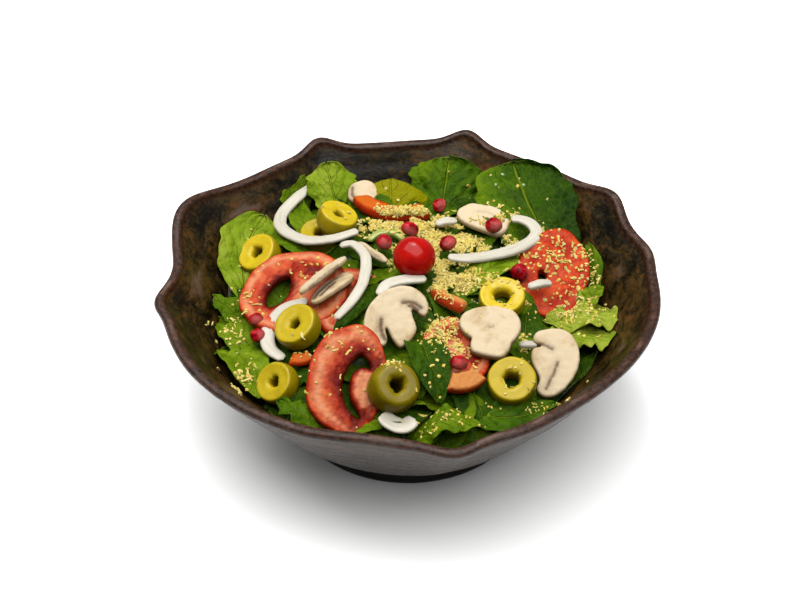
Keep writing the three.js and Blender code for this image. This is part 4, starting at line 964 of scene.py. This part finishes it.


# outline and gillLines are drawn on the slice's own face. gills and rind: how dark they show; the gills' dark is brown
# gill colour with painted shade spread around each line.
mushrooms = {
    "mushroom_strip_low": dict(at=(-37.5, -1, 76), lean=24, toward=142, spin=52, thick=2.6, bevel=0.3, gills=0.95,
        rind=0.45, outline=[(-14.5, -1), (-8, -4.4), (0, -5.4), (8, -6.6), (13, -4.6), (14.4, 0), (14.4, 6.4),
        (9, 7.6), (0, 7), (-8, 5), (-13, 2.4)], gillLines=[[(-11, 1.5), (-5, 3), (2, 3.8), (8, 3.6)], [(-8, -0.4),
        (-2, 0.4), (4, 0.8)]]),
    "mushroom_strip": dict(at=(-42, 4, 80.5), lean=32, toward=142, spin=52, thick=2.6, bevel=0.3, gills=0.6,
        rind=0.45, outline=[(-17.5, -1.5), (-12, -3.8), (-4, -4.4), (5, -4.4), (13, -4), (17.5, -1.6), (17.8, 1.6),
        (12, 3.6), (3, 4), (-6, 3.6), (-13, 2.4), (-17, 0.6)], gillLines=[[(-13, -3.6), (-3, -4.2), (8, -4.2)]]),
    "mushroom_edge": dict(at=(-18, 27, 78.5), lean=60, toward=215, spin=0, thick=2.4, gills=0.2, rind=0.4,
        outline=[(-8.6, 7.7), (-4.2, 5.6), (2.5, -2.3), (7.4, -7.4), (8.6, -10.8), (6.2, -10.6), (0.5, -5.6),
        (-5.9, 1.8)], gillLines=[]),
    "mushroom_back_left": dict(at=(-25, 86, 71), lean=24, toward=265, spin=10, thick=4.5, gills=0.8, rind=0.8,
        outline=[(-6.7, -0.6), (-4.1, 3.4), (1.2, 4.8), (6.8, 3.2), (9.4, -2.1), (7.7, -7.6), (2.7, -9.8),
        (-3.3, -8.6), (-6.8, -5)], gillLines=[[(-3.8, 1), (-4.6, -3), (-3, -7)]]),
    "mushroom_back": dict(at=(39, 60, 74.5), lean=12, toward=280, spin=-22, thick=3.6, gills=0.35, rind=0.6,
        outline=[(-13.3, -2.1), (-8.1, 4.8), (-2, 4.6), (0.9, 6.4), (7.9, 5.4), (13.1, 3.1), (14.6, -3.1), (13.6, -8),
        (10, -11.8), (2.4, -10.6), (-3.5, -10.5), (-8.7, -9.4), (-12.6, -6.8)], gillLines=[[(-3.4, -0.6), (1, 1),
        (5, 0.4), (8, -2.6)]]),
    "mushroom_right": dict(at=(70, -37, 61.5), lean=28, toward=275, spin=-98, thick=5, gills=0.75, rind=0.9,
        outline=[(-9.2, -11.6), (-11.8, -10.6), (-14, -7.1), (-15.6, -1.8), (-15.3, 3.3), (-12.9, 7.6), (-7.9, 10.6),
        (-1.7, 12), (4.9, 11.4), (10.5, 9.2), (15.5, 6), (19.2, 1.5), (19.8, -2.8), (18.2, -6), (15.6, -6.9),
        (12.8, -5.4), (9.2, -6.4), (5.9, -9.2), (1.7, -11), (-1.6, -11.2), (-3.8, -10.4), (-4.6, -8), (-5.4, -6.6),
        (-6.4, -8.6), (-7, -11)], gillLines=[[(-6.2, -8), (-5.4, -4.4), (-4.4, -1.6)], [(2, 1.7), (7.4, 0.6),
        (12.9, -1.2), (16, -2)]]),
    "mushroom_centre_right": dict(at=(39, -28, 75.5), lean=24, toward=265, spin=0, thick=5, gills=0.5, rind=0.9,
        outline=[(-14.6, 1.3), (-13.2, 5.3), (-9.4, 7.8), (-3.2, 9.3), (4, 9.3), (9.9, 7.8), (13.8, 4.2),
        (15.1, -0.7), (13.9, -5.3), (11.4, -8.8), (9.7, -10.3), (9.4, -12.4), (8, -15.3), (5.1, -18), (-1.5, -16.8),
        (-8, -14.8), (-9.4, -13), (-9.4, -10), (-8.4, -6.6), (-10.7, -5.8), (-13.4, -2.9)], gillLines=[[(0.2, -2.2),
        (1.7, -1.8)]]),
    "mushroom_centre": dict(at=(-6, -23, 80), lean=30, toward=280, spin=35, thick=5, gills=1, rind=0.8,
        outline=[(-17.3, -10), (-19, -5.6), (-18.4, -0.6), (-16.1, 3.8), (-11.3, 8), (-5.4, 10.4), (1.5, 11),
        (8.5, 9.6), (13.4, 5.9), (15.7, 0.6), (15.4, -4.6), (13.2, -8.4), (10.2, -9.8), (8.8, -8), (8.6, -5.6),
        (7.4, -3.4), (6, -4), (5.4, -6), (4.3, -10.4), (2.6, -14.2), (-3.2, -16.6), (-8, -17.2), (-9.3, -14.7),
        (-8.9, -9.8), (-8.2, -6), (-9.2, -4.6), (-10.4, -6.4), (-11.2, -9.6), (-13.4, -11.8), (-15.6, -11.6)],
        gillLines=[[(5, 1.2), (7.8, -0.2), (9.9, -2.6), (10.8, -5.4)], [(6.6, -1.6), (8, -3), (8.8, -5.4)],
        [(-8.6, -0.4), (-11, -3.4), (-12.4, -7), (-12.6, -9.6)]]),
}


def mushroomMesh(name, piece, seed):
    outline = smoothLoop(piece["outline"])
    outline = outline + np.stack([ripple(outline, 7, seed), ripple(outline, 7, seed + 1)], -1) * 0.2
    bevel = piece.get("bevel", 0.6)
    points, faces, outer, _, layer = slab(outline, [], piece["thick"], spacing=0.75, bevel=bevel, belly=0.2)
    flat = points[:, :2]
    gills = np.zeros(len(flat))
    for line in piece["gillLines"]:
        run = gapTo(flat, np.array(line + line[::-1], float))
        # a narrow dark core is the gills' own brown; the broad soft falloff is painted shade
        near = 0.6 * np.exp(-((run / 0.75) ** 2)) + 0.4 * np.exp(-((run / 3.2) ** 2))
        gills = np.maximum(gills, near * piece["gills"])
    relief = ripple(flat, 6, seed) * 0.16 + ripple(flat, 2.2, seed + 5) * 0.05
    points[:, 2] += np.where(layer == 1, relief - gills * 0.7, 0) + 0.15 - 0.00175 * flat[:, 0] ** 2
    side = np.where(layer == 0, 1.0, np.clip(1 - outer / 0.7, 0, 1) * 0.3) * piece["rind"]
    return settledMesh(name, piece, points, faces, {"rind": side, "gills": gills})


def mushroomMaterial():
    look = materialMaker("cutMushroom", specularIorLevel=0.1, subsurfaceWeight=0.1, subsurfaceScale=0.003,
                         subsurfaceRadius=(1.0, 0.8, 0.5))
    place = look.coordinates()
    patches = look.cloud(place, 70, 4, 0.6, 0.3)
    fibres = look.cloud(place, 420)
    comb = look.cloud(place, 900, 2)
    cream = look.graded(
        patches, (0.3, (0.235, 0.155, 0.076)), (0.4, (0.315, 0.24, 0.14)), (0.5, (0.372, 0.302, 0.2)))
    cream = look.blended(fibres * 0.15, cream, (0.25, 0.175, 0.092))
    rind = look.graded(fibres, (0.35, (0.105, 0.052, 0.012)), (0.65, (0.19, 0.118, 0.04)))
    colour = look.blended(look.field("rind") * 0.8, cream, rind)
    dark = look.graded(comb, (0.38, (0.022, 0.011, 0.005)), (0.62, (0.09, 0.05, 0.024)))
    ragged = look.field("gills") * look.band(comb, 0.3, 0.7, 0.75, 1.25)
    look.bumped(fibres, 0.0004, 0.6)
    # gills darken the cream: real gill brown plus painted shade around them
    colour = look.blended(look.band(ragged, 0.04, 0.85, 0, 0.9), colour, dark)
    return look.finished(colour, look.band(patches, 0.3, 0.7, 0.5, 0.65))


addFood(mushrooms, mushroomMesh, mushroomMaterial(), seedStep=9, firstSeed=4)
print("mushrooms ready")


strips = {
    "onion_back_left": dict(line=[(-45, 94, 71), (-56, 83, 70), (-65, 69, 68), (-64, 54, 70), (-52, 41, 73),
        (-38, 37, 77), (-25, 41, 79)], wide=6.8, tall=3.0),
    "onion_middle": dict(line=[(-34, 29, 79), (-27, 28, 80.5), (-21, 16, 81.5), (-22, -1, 80), (-28, -14, 77.5),
        (-35, -22, 74.5)], wide=5.6, tall=3),
    "onion_right": dict(line=[(52.2, 51.4, 78.5), (57.3, 51, 78.5), (62.2, 47.9, 78), (64.8, 41.8, 77),
        (61.2, 35.1, 76.5), (51.8, 27.6, 77), (39.2, 21.6, 78), (28.6, 18.1, 79.5), (19.7, 17.4, 81)], wide=7,
        tall=3.4),
    "onion_front_of_cherry": dict(line=[(9, 1, 80.5), (-2, 0, 80.5), (-10, -3, 80), (-14, -10, 79)], wide=6.6,
        tall=3),
    "onion_left": dict(line=[(-49, -6, 72.5), (-61, -8, 68), (-67.5, -18, 63.5), (-67, -28, 61.5), (-60, -36, 61)],
        wide=7.6, tall=3),
    "onion_bit_right": dict(line=[(53, -32, 66.5), (58, -31, 66), (62, -30, 65)], wide=4, tall=3),
    "onion_bit_back_right": dict(line=[(59, 6, 71), (65, 8, 71.5), (71, 10, 70.5)], wide=5, tall=3.4),
    "onion_front": dict(line=[(-12, -73, 60), (-8, -77, 58), (-2, -78.5, 57), (3, -75, 58.5)], wide=9.6, tall=2.6),
    "onion_bit_back": dict(line=[(14, 48, 77.5), (19, 50, 78), (25, 51, 77.5)], wide=5, tall=3),
}
pepperArc = {
    "pepper_arc": dict(line=[(-20, 36, 76.5), (-14, 41, 77.5), (-7, 41, 77.5), (-2, 36, 77.5)], wide=4.4, tall=3.4),
}
stripForm = {"spacing": 0.7, "around": 20, "hollow": 0.16, "square": 0.7, "end": 0.2, "uvLength": 20}


def smoothLine(line, spacing):
    line = [np.array(point, float) for point in line]
    line = [2 * line[0] - line[1], *line, 2 * line[-1] - line[-2]]
    samples = []
    for a, b, c, d in zip(line, line[1:], line[2:], line[3:]):
        for t in np.linspace(0, 1, 24, endpoint=False):
            bend = (2 * a - 5 * b + 4 * c - d) * t ** 2 + (3 * b - a - 3 * c + d) * t ** 3
            samples.append(0.5 * (2 * b + (c - a) * t + bend))
    return spaced(np.array([*samples, line[-2]]), spacing)


def stripMesh(name, piece, seed):
    line, length = smoothLine(piece["line"], stripForm["spacing"])
    forward = unit(np.gradient(line, axis=0))
    side = unit(np.stack([forward[:, 1], -forward[:, 0], np.zeros(len(line))], -1))
    up = unit(np.cross(side, forward))
    along = np.linspace(0, 1, len(line))
    blunt = np.sqrt(np.clip(1 - (1 - np.minimum(along, 1 - along) * length / 1.3).clip(0, 1) ** 2, 0.04, 1))
    taper = (0.6 + 0.4 * np.sin(math.pi * along) ** 0.5) * blunt
    turn = around(stripForm["around"])
    x, y = (np.sign(part) * np.abs(part) ** stripForm["square"] for part in (np.cos(turn), np.sin(turn)))
    y = y - stripForm["hollow"] * (1 - x ** 2) * np.where(y < 0, -1, 0.35)
    grid = line[:, None] + side[:, None] * (x * piece["wide"] / 2 * taper[:, None])[..., None]
    grid = grid + up[:, None] * (y * piece["tall"] / 2 * taper[:, None])[..., None]
    grid = grid + up[:, None] * (ripple(grid, 6, seed) * 0.14)[..., None]
    grid = grid + side[:, None] * (ripple(grid, 9, seed + 2) * 0.16)[..., None]
    end = stripForm["end"]
    points, faces = capped(grid, line[0] - forward[0] * end, line[-1] + forward[-1] * end)
    lengthwise = along[:, None] * length / stripForm["uvLength"]
    uv = np.stack(np.broadcast_arrays(x[None] * 0.5 + 0.5, lengthwise), -1).reshape(-1, 2)
    return buildMesh(name, points, faces, np.vstack([uv, [[0.5, 0], [0.5, length / stripForm["uvLength"]]]]))


def onionMaterial():
    look = materialMaker("rawOnion", specularIorLevel=0.15, coatWeight=0.06, coatRoughness=0.15,
                         subsurfaceWeight=0.3, subsurfaceScale=0.003, subsurfaceRadius=(1.0, 0.95, 0.85))
    streaks = look.cloud(look.stretched(look.coordinates("UV"), (9, 0.6, 1)), 2.2, 4)
    patches = look.cloud(look.coordinates(), 90)
    white = look.graded(
        streaks, (0.34, (0.2838, 0.2666, 0.2124)), (0.5, (0.3286, 0.306, 0.2496)), (0.66, (0.3722, 0.3451, 0.2872)))
    look.bumped(streaks, 0.0003, 0.5)
    colour = look.blended(patches * 0.4, white, (0.2968, 0.2703, 0.2112))
    return look.finished(colour, look.band(streaks, 0.3, 0.7, 0.24, 0.4))


def pepperMaterial():
    look = materialMaker("greenPepper", specularIorLevel=0.3, coatWeight=0.15, coatRoughness=0.15,
                         subsurfaceWeight=0.12, subsurfaceScale=0.003)
    streaks = look.cloud(look.stretched(look.coordinates("UV"), (6, 0.8, 1)), 2.4, 4)
    green = look.graded(
        streaks, (0.36, (0.1, 0.125, 0.0125)), (0.52, (0.18, 0.21, 0.035)), (0.68, (0.25, 0.28, 0.08)))
    return look.finished(green, look.band(streaks, 0.3, 0.7, 0.22, 0.36))


addFood(strips, stripMesh, onionMaterial(), seedStep=5, firstSeed=1)
addFood(pepperArc, stripMesh, pepperMaterial(), seedStep=5, firstSeed=46)
print("onion ready")


arils = {
    "aril_left_upper": dict(at=(-74, -11, 64.5), size=(8.4, 7.6, 7.2), spin=20),
    "aril_left_lower": dict(at=(-73, -21, 63), size=(7.2, 7.6, 6.8), spin=70),
    "aril_middle": dict(at=(-12, 29.5, 81), size=(8, 9.4, 7.6), spin=10),
    "aril_behind_cherry": dict(at=(1, 42, 79.5), size=(9.4, 7.4, 7), spin=0),
    "aril_cherry_right": dict(at=(19.5, 28, 81.5), size=(9.4, 8.2, 7.6), spin=40),
    "aril_on_mushroom": dict(at=(43, 45, 79.5), size=(8.6, 9.4, 8), spin=30),
    "aril_right": dict(at=(55, 15, 73.5), size=(8.4, 9.6, 8), spin=105),
    "aril_front": dict(at=(24, -49, 70.5), size=(9.6, 7.4, 7), spin=15),
    "aril_back": dict(at=(16, 68, 74.5), size=(8, 7, 6.8), spin=50),
}
cherry = {"at": (3, 12, 85.2), "lean": 38, "toward": 70, "radius": 10.4, "rows": 60, "columns": 90, "flat": 0.97}


def arilMesh(name, piece, seed):
    points, faces = ball(4)
    draw = np.random.default_rng(seed)
    for _ in range(9):  # pressed flat where it lay against its neighbours
        direction = unit(draw.normal(size=3))
        past = np.clip(points @ direction - draw.uniform(0.86, 0.94), 0, None)
        points = points - past[:, None] * direction * 0.85
    points[:, 0] *= 1 - 0.16 * points[:, 1]
    pale = np.clip((-points[:, 1] - 0.35) * 1.6, 0, 1)
    points = settle(points * (np.array(piece["size"]) / 2), piece["at"], 25, piece["spin"] * 3, piece["spin"])
    return buildMesh(name, points, faces, fields={"pale": pale})


def arilMaterial():
    look = materialMaker("pomegranateSeed", specularIorLevel=0.05, coatWeight=0.05, coatRoughness=0.05,
                         subsurfaceWeight=0.25, subsurfaceScale=0.003, subsurfaceRadius=(1.0, 0.2, 0.25))
    patches = look.cloud(look.coordinates(), 260, 3, 0.6, 0.6)
    colour = look.graded(
        patches, (0.35, (0.055, 0.0003, 0.0008)), (0.5, (0.165, 0.0008, 0.0035)), (0.66, (0.32, 0.009, 0.015)))
    colour = look.blended(look.field("pale") * 0.45, colour, (0.38, 0.1, 0.085))
    return look.finished(colour, look.band(patches, 0.3, 0.7, 0.1, 0.22))


def cherryMesh():
    polar = np.linspace(0, math.pi, cherry["rows"] + 2)[1:-1, None]
    turn = around(cherry["columns"])[None]
    radius = 1 - 0.05 * np.exp(-((polar / 0.22) ** 2)) + 0 * turn
    radius = radius * (1 + 0.012 * np.cos(2 * turn + 1) * np.sin(polar))
    points, faces = capped(ring(turn, radius * np.sin(polar), radius * np.cos(polar)), (0, 0, 0.945), (0, 0, -1))
    points *= cherry["radius"]
    points[:, 1] *= cherry["flat"]
    scar = np.append(np.repeat(np.exp(-((polar[:, 0] / 0.12) ** 2)), cherry["columns"]), [1, 0])
    return settledMesh("cherryTomato", cherry, points, faces, {"scar": scar})


def cherryMaterial():
    look = materialMaker("cherrySkin", specularIorLevel=0.08, coatWeight=0.13, coatRoughness=0.06,
                         subsurfaceWeight=0.1, subsurfaceScale=0.003, subsurfaceRadius=(1.0, 0.15, 0.08))
    patches, specks = look.cloud(look.coordinates(), 90), look.cloud(look.coordinates(), 1300, 2)
    colour = look.graded(patches, (0.35, (0.204, 0.0005, 0.00025)), (0.65, (0.2992, 0.003, 0.0005)))
    colour = look.blended(look.band(specks, 0.62, 0.75, 0, 0.25), colour, (0.3944, 0.025, 0.005))
    colour = look.blended(look.field("scar"), colour, (0.204, 0.08, 0.025))
    return look.finished(colour, look.band(patches, 0.3, 0.7, 0.2, 0.28))


addFood(arils, arilMesh, arilMaterial(), seedStep=1, firstSeed=31)
addPiece("cherryTomato", cherryMesh(), cherryMaterial(), ["cherry_tomato"])
print("seeds and cherry tomato ready")


crumbs = {
    "step": 0.9, "steepest": 2.2, "everywhere": 0.0015, "pile": 0.0018, "fullDensity": 3400000,
    "reach": 103, "sheetReach": 116, "sheetHalf": 118, "castFrom": 0.2,
    "kinds": {
        "crumbGrains": {"share": 0.80, "smallest": 0.00050, "largest": 0.00125, "longestForm": 2, "seed": 4},
        "crumbShreds": {"share": 0.14, "smallest": 0.00080, "largest": 0.00130, "longestForm": 3, "seed": 11},
    },
    # How many crumbs stay on each kind of food.
    "cling": {"onion": 0.0, "cherry": 0.0, "aril": 0.0, "mushroom": 0.03, "olive": 0.3},
    # A chip, a short shred and a bent shred: their size, bend and cuts. A plain grain comes before them.
    "forms": (((1.5, 1.2, 0.55), 0.0, 2), ((2.9, 0.7, 0.6), 0.25, 4), ((4.2, 0.65, 0.5), 0.8, 6)),
    "heaps": [  # x, y, radius in x and y, share of the full density
        (0, 57, 17, 6, 0.8), (18, 50, 13, 6, 0.9), (17, 38, 11, 9, 1.0), (42, 41, 15, 7, 0.45), (17, 15, 9, 11, 0.9),
        (28, 7, 9, 4, 0.525), (16, -24, 8, 10, 0.262), (22, -38, 7, 8, 0.1), (47, 0, 10, 8, 0.125),
        (72, 24, 14, 20, 0.05), (90, 32, 5, 20, 0.06), (82, 2, 8, 6, 0.13), (90, -8, 12, 12, 0.025),
        (-50, 10, 28, 18, 0.007), (-7, 30, 7, 9, 0.375), (-22, 52, 9, 5, 0.1), (-84, -6, 6, 12, 0.08),
        (-79, -47, 4, 6, 0.225), (-46, -34, 10, 7, 0.07), (-29, -54, 16, 24, 0.007), (-6, -57, 4, 4, 0.3),
        (50, -52, 4, 4, 0.3), (58, -60, 14, 5, 0.04), (10, -80, 20, 4, 0.045), (55, -27, 5, 5, 0.338),
        (33, 54, 14, 6, 0.3), (44, 30, 12, 4, 0.262), (30, 62, 16, 5, 0.1), (15, -70, 14, 8, 0.015),
    ],
}
drops = {"radius": 1.1, "flat": 0.6, "spots": [(49.4, 89), (45.4, 81), (60, 79.4)]}


def groundTree():
    points, faces, clings = [], [], []
    for piece in shown:
        cling = next((share for word, share in crumbs["cling"].items() if piece.name.startswith(word)), 1.0)
        clings += [cling] * len(piece.data.polygons)
        start = len(points)
        faces += [[start + index for index in polygon.vertices] for polygon in piece.data.polygons]
        points += [tuple(vertex.co) for vertex in piece.data.vertices]
    return BVHTree.FromPolygons(points, faces), clings


def castDown(tree, x, y):
    return tree.ray_cast(Vector((x * metre, y * metre, crumbs["castFrom"])), Vector((0, 0, -1)))


def dustingSheet(tree, clings):
    # What lies on top, seen from above, as a fine sheet that holds the crumbs' density.
    spans = np.arange(-crumbs["sheetHalf"], crumbs["sheetHalf"], crumbs["step"])
    x, y = np.meshgrid(spans, spans)
    heights, holds = np.full(x.shape, np.nan), np.zeros(x.shape)
    for spot in zip(*np.nonzero(np.hypot(x, y) < crumbs["sheetReach"])):
        hit, _, face, _ = castDown(tree, x[spot], y[spot])
        if hit is not None:
            heights[spot], holds[spot] = hit.z / metre, clings[face]
    density = np.full(x.shape, crumbs["everywhere"])
    for centreX, centreY, reachX, reachY, share in crumbs["heaps"]:
        density = density + share * np.exp(-((x - centreX) / reachX) ** 2 - ((y - centreY) / reachY) ** 2)
    plan = np.stack([x, y], -1)
    density = np.clip(density * (1 + ripple(plan, 9, 12) * 0.5 + ripple(plan, 24, 13) * 0.3), 0, 1.2)
    density = density * (np.hypot(x, y) < crumbs["reach"]) * holds
    corners = np.stack([heights[:-1, :-1], heights[:-1, 1:], heights[1:, 1:], heights[1:, :-1]])
    level = corners.max(axis=0) - corners.min(axis=0) < crumbs["steepest"]
    faces = np.array(gridFaces(len(spans), len(spans)))[level.ravel()].tolist()
    points = np.stack([x, y, np.nan_to_num(heights)], -1).reshape(-1, 3)
    mesh = bpy.data.meshes.new("dustingSheet")
    mesh.from_pydata((points * metre).tolist(), [], faces)
    setField(mesh, "density", density)
    return mesh


def crumbTree(material):
    group = bpy.data.node_groups.new("scatteredCrumbs", "GeometryNodeTree")
    sockets = {"Geometry": "Geometry", "Crumbs per square metre": "Float", "Smallest": "Float", "Largest": "Float",
               "Pile height": "Float", "Longest form": "Int", "Seed": "Int"}
    for name, kind in sockets.items():
        group.interface.new_socket(name=name, in_out="INPUT", socket_type="NodeSocket" + kind)
    group.interface.new_socket(name="Geometry", in_out="OUTPUT", socket_type="NodeSocketGeometry")
    nodes = nodeMaker(group)
    make = nodes.make
    given = {socket.name: signal(nodes, socket) for socket in group.nodes.new("NodeGroupInput").outputs}

    def drawn(low, high, seed, kind="FLOAT"):
        at = ("FLOAT_VECTOR", "FLOAT", "INT").index(kind)
        values = {2 * at: low, 2 * at + 1: high, "Seed": seed}
        return make("FunctionNodeRandomValue", values, at, data_type=kind)

    def moved(shape, offset):
        return make("GeometryNodeSetPosition", {"Geometry": shape, "Offset": offset})

    def shaken(shape, reach, seed):
        return moved(shape, drawn((-reach,) * 3, (reach,) * 3, seed, "FLOAT_VECTOR"))

    density = make("GeometryNodeInputNamedAttribute", {"Name": "density"}, "Attribute", data_type="FLOAT")
    spread = make("GeometryNodeDistributePointsOnFaces", {
        "Mesh": given["Geometry"], "Density": density * given["Crumbs per square metre"], "Seed": given["Seed"]})
    rotation = signal(nodes, spread.socket.node.outputs["Rotation"])
    # Crumbs lie on each other where they are dense.
    lift = drawn(0.0, 1.0, 31) * given["Pile height"] * (density * density)
    raised = moved(spread, make("ShaderNodeCombineXYZ", {"Z": lift}))
    shade = {"Geometry": raised, "Name": "shade", "Value": drawn(0.0, 1.0, 7)}
    shaded = make("GeometryNodeStoreNamedAttribute", shade, data_type="FLOAT", domain="POINT")

    shapes = [shaken(make("GeometryNodeMeshIcoSphere", {"Subdivisions": 1, "Radius": 0.8}), 0.22, 3)]
    for size, bend, cuts in crumbs["forms"]:
        block = make("GeometryNodeMeshCube", {"Size": size, "Vertices X": cuts})
        lengthwise = make("ShaderNodeSeparateXYZ", {0: make("GeometryNodeInputPosition", {})}, "X")
        arch = nodes.maths("COSINE", lengthwise)
        bent = moved(block, make("ShaderNodeCombineXYZ", {"Y": arch * bend, "Z": arch * (bend * 0.5)}))
        shapes.append(shaken(bent, 0.13, 5 + cuts))
    forms = group.nodes.new("GeometryNodeJoinGeometry")
    for shape in reversed(shapes):  # joined inputs count from the last link
        nodes.feed(forms.inputs["Geometry"], make("GeometryNodeGeometryToInstance", {"Geometry": shape}))

    spin = drawn((-0.7, -0.7, 0.0), (0.7, 0.7, 6.283), 17, "FLOAT_VECTOR")
    turned = make("FunctionNodeRotateRotation", {"Rotation": rotation, "Rotate By": spin}, rotation_space="LOCAL")
    laid = make("GeometryNodeInstanceOnPoints", {
        "Points": shaded, "Instance": signal(nodes, forms.outputs["Geometry"]), "Pick Instance": True,
        "Instance Index": drawn(0, given["Longest form"], 23, "INT"), "Rotation": turned,
        "Scale": drawn(given["Smallest"], given["Largest"], 41)})
    real = make("GeometryNodeRealizeInstances", {"Geometry": laid})
    dressed = make("GeometryNodeSetMaterial", {"Geometry": real, "Material": material})
    nodes.feed(group.nodes.new("NodeGroupOutput").inputs["Geometry"], dressed)
    return group


def crumbMaterial():
    look = materialMaker("gratedCrumb", specularIorLevel=0.1, roughness=0.6, subsurfaceWeight=0.15,
                         subsurfaceScale=0.002, subsurfaceRadius=(1.0, 0.8, 0.4))
    fine = look.cloud(look.coordinates(), 500, 2)
    colour = look.graded(
        look.field("shade"), (0.0, (0.355, 0.255, 0.044)), (0.35, (0.39, 0.306, 0.068)), (0.7, (0.415, 0.343, 0.102)),
        (1.0, (0.425, 0.365, 0.15)))
    look.bumped(fine, 0.0003, 0.5)
    return look.finished(look.blended(fine * 0.3, colour, (0.35, 0.245, 0.05)))


def makeCrumbs(ground, clings):
    material = crumbMaterial()
    sheetMesh = dustingSheet(ground, clings)
    tree = crumbTree(material)
    for name, kind in crumbs["kinds"].items():
        sheet = addObject("dustingSheet", sheetMesh.copy())
        modifier = sheet.modifiers.new("scatter", "NODES")
        modifier.node_group = tree
        values = {
            "Crumbs per square metre": float(crumbs["fullDensity"] * kind["share"]), "Smallest": kind["smallest"],
            "Largest": kind["largest"], "Pile height": crumbs["pile"], "Longest form": kind["longestForm"],
            "Seed": kind["seed"],
        }
        for item in tree.interface.items_tree:
            if item.in_out == "INPUT" and item.name in values:
                modifier[item.identifier] = values[item.name]
        graph = bpy.context.evaluated_depsgraph_get()
        mesh = bpy.data.meshes.new_from_object(
            sheet.evaluated_get(graph), preserve_all_data_layers=True, depsgraph=graph)
        mesh.name = name
        sheet.modifiers.remove(modifier)
        bpy.data.objects.remove(sheet)
        mesh.materials.clear()
        print(name, "triangles:", sum(len(polygon.vertices) - 2 for polygon in mesh.polygons))
        addPiece(name, mesh, material)


def waterMaterial():
    look = materialMaker("water", roughness=0.05, specularIorLevel=0.8)
    tint = look.cloud(look.coordinates(), 300, 1)
    return look.finished(look.blended(tint, (0.1, 0.16, 0.05), (0.2, 0.27, 0.14)))


def dropMesh(ground):
    parts = []
    sphere, faces = ball(3)
    for x, y in drops["spots"]:
        hit, normal, _, _ = castDown(ground, x, y)
        lean = math.degrees(normal.angle(Vector((0, 0, 1))))
        toward = math.degrees(math.atan2(normal.y, normal.x))
        bead = sphere * drops["radius"] * (1, 1, drops["flat"])
        parts.append((settle(bead, tuple(value / metre for value in hit), lean, toward), faces, None, {}))
    points, faces, _, _ = joined(parts)
    return buildMesh("waterDrops", points, faces)


ground, clings = groundTree()
makeCrumbs(ground, clings)
addPiece("waterDrops", dropMesh(ground), waterMaterial())
print("crumbs and drops ready")
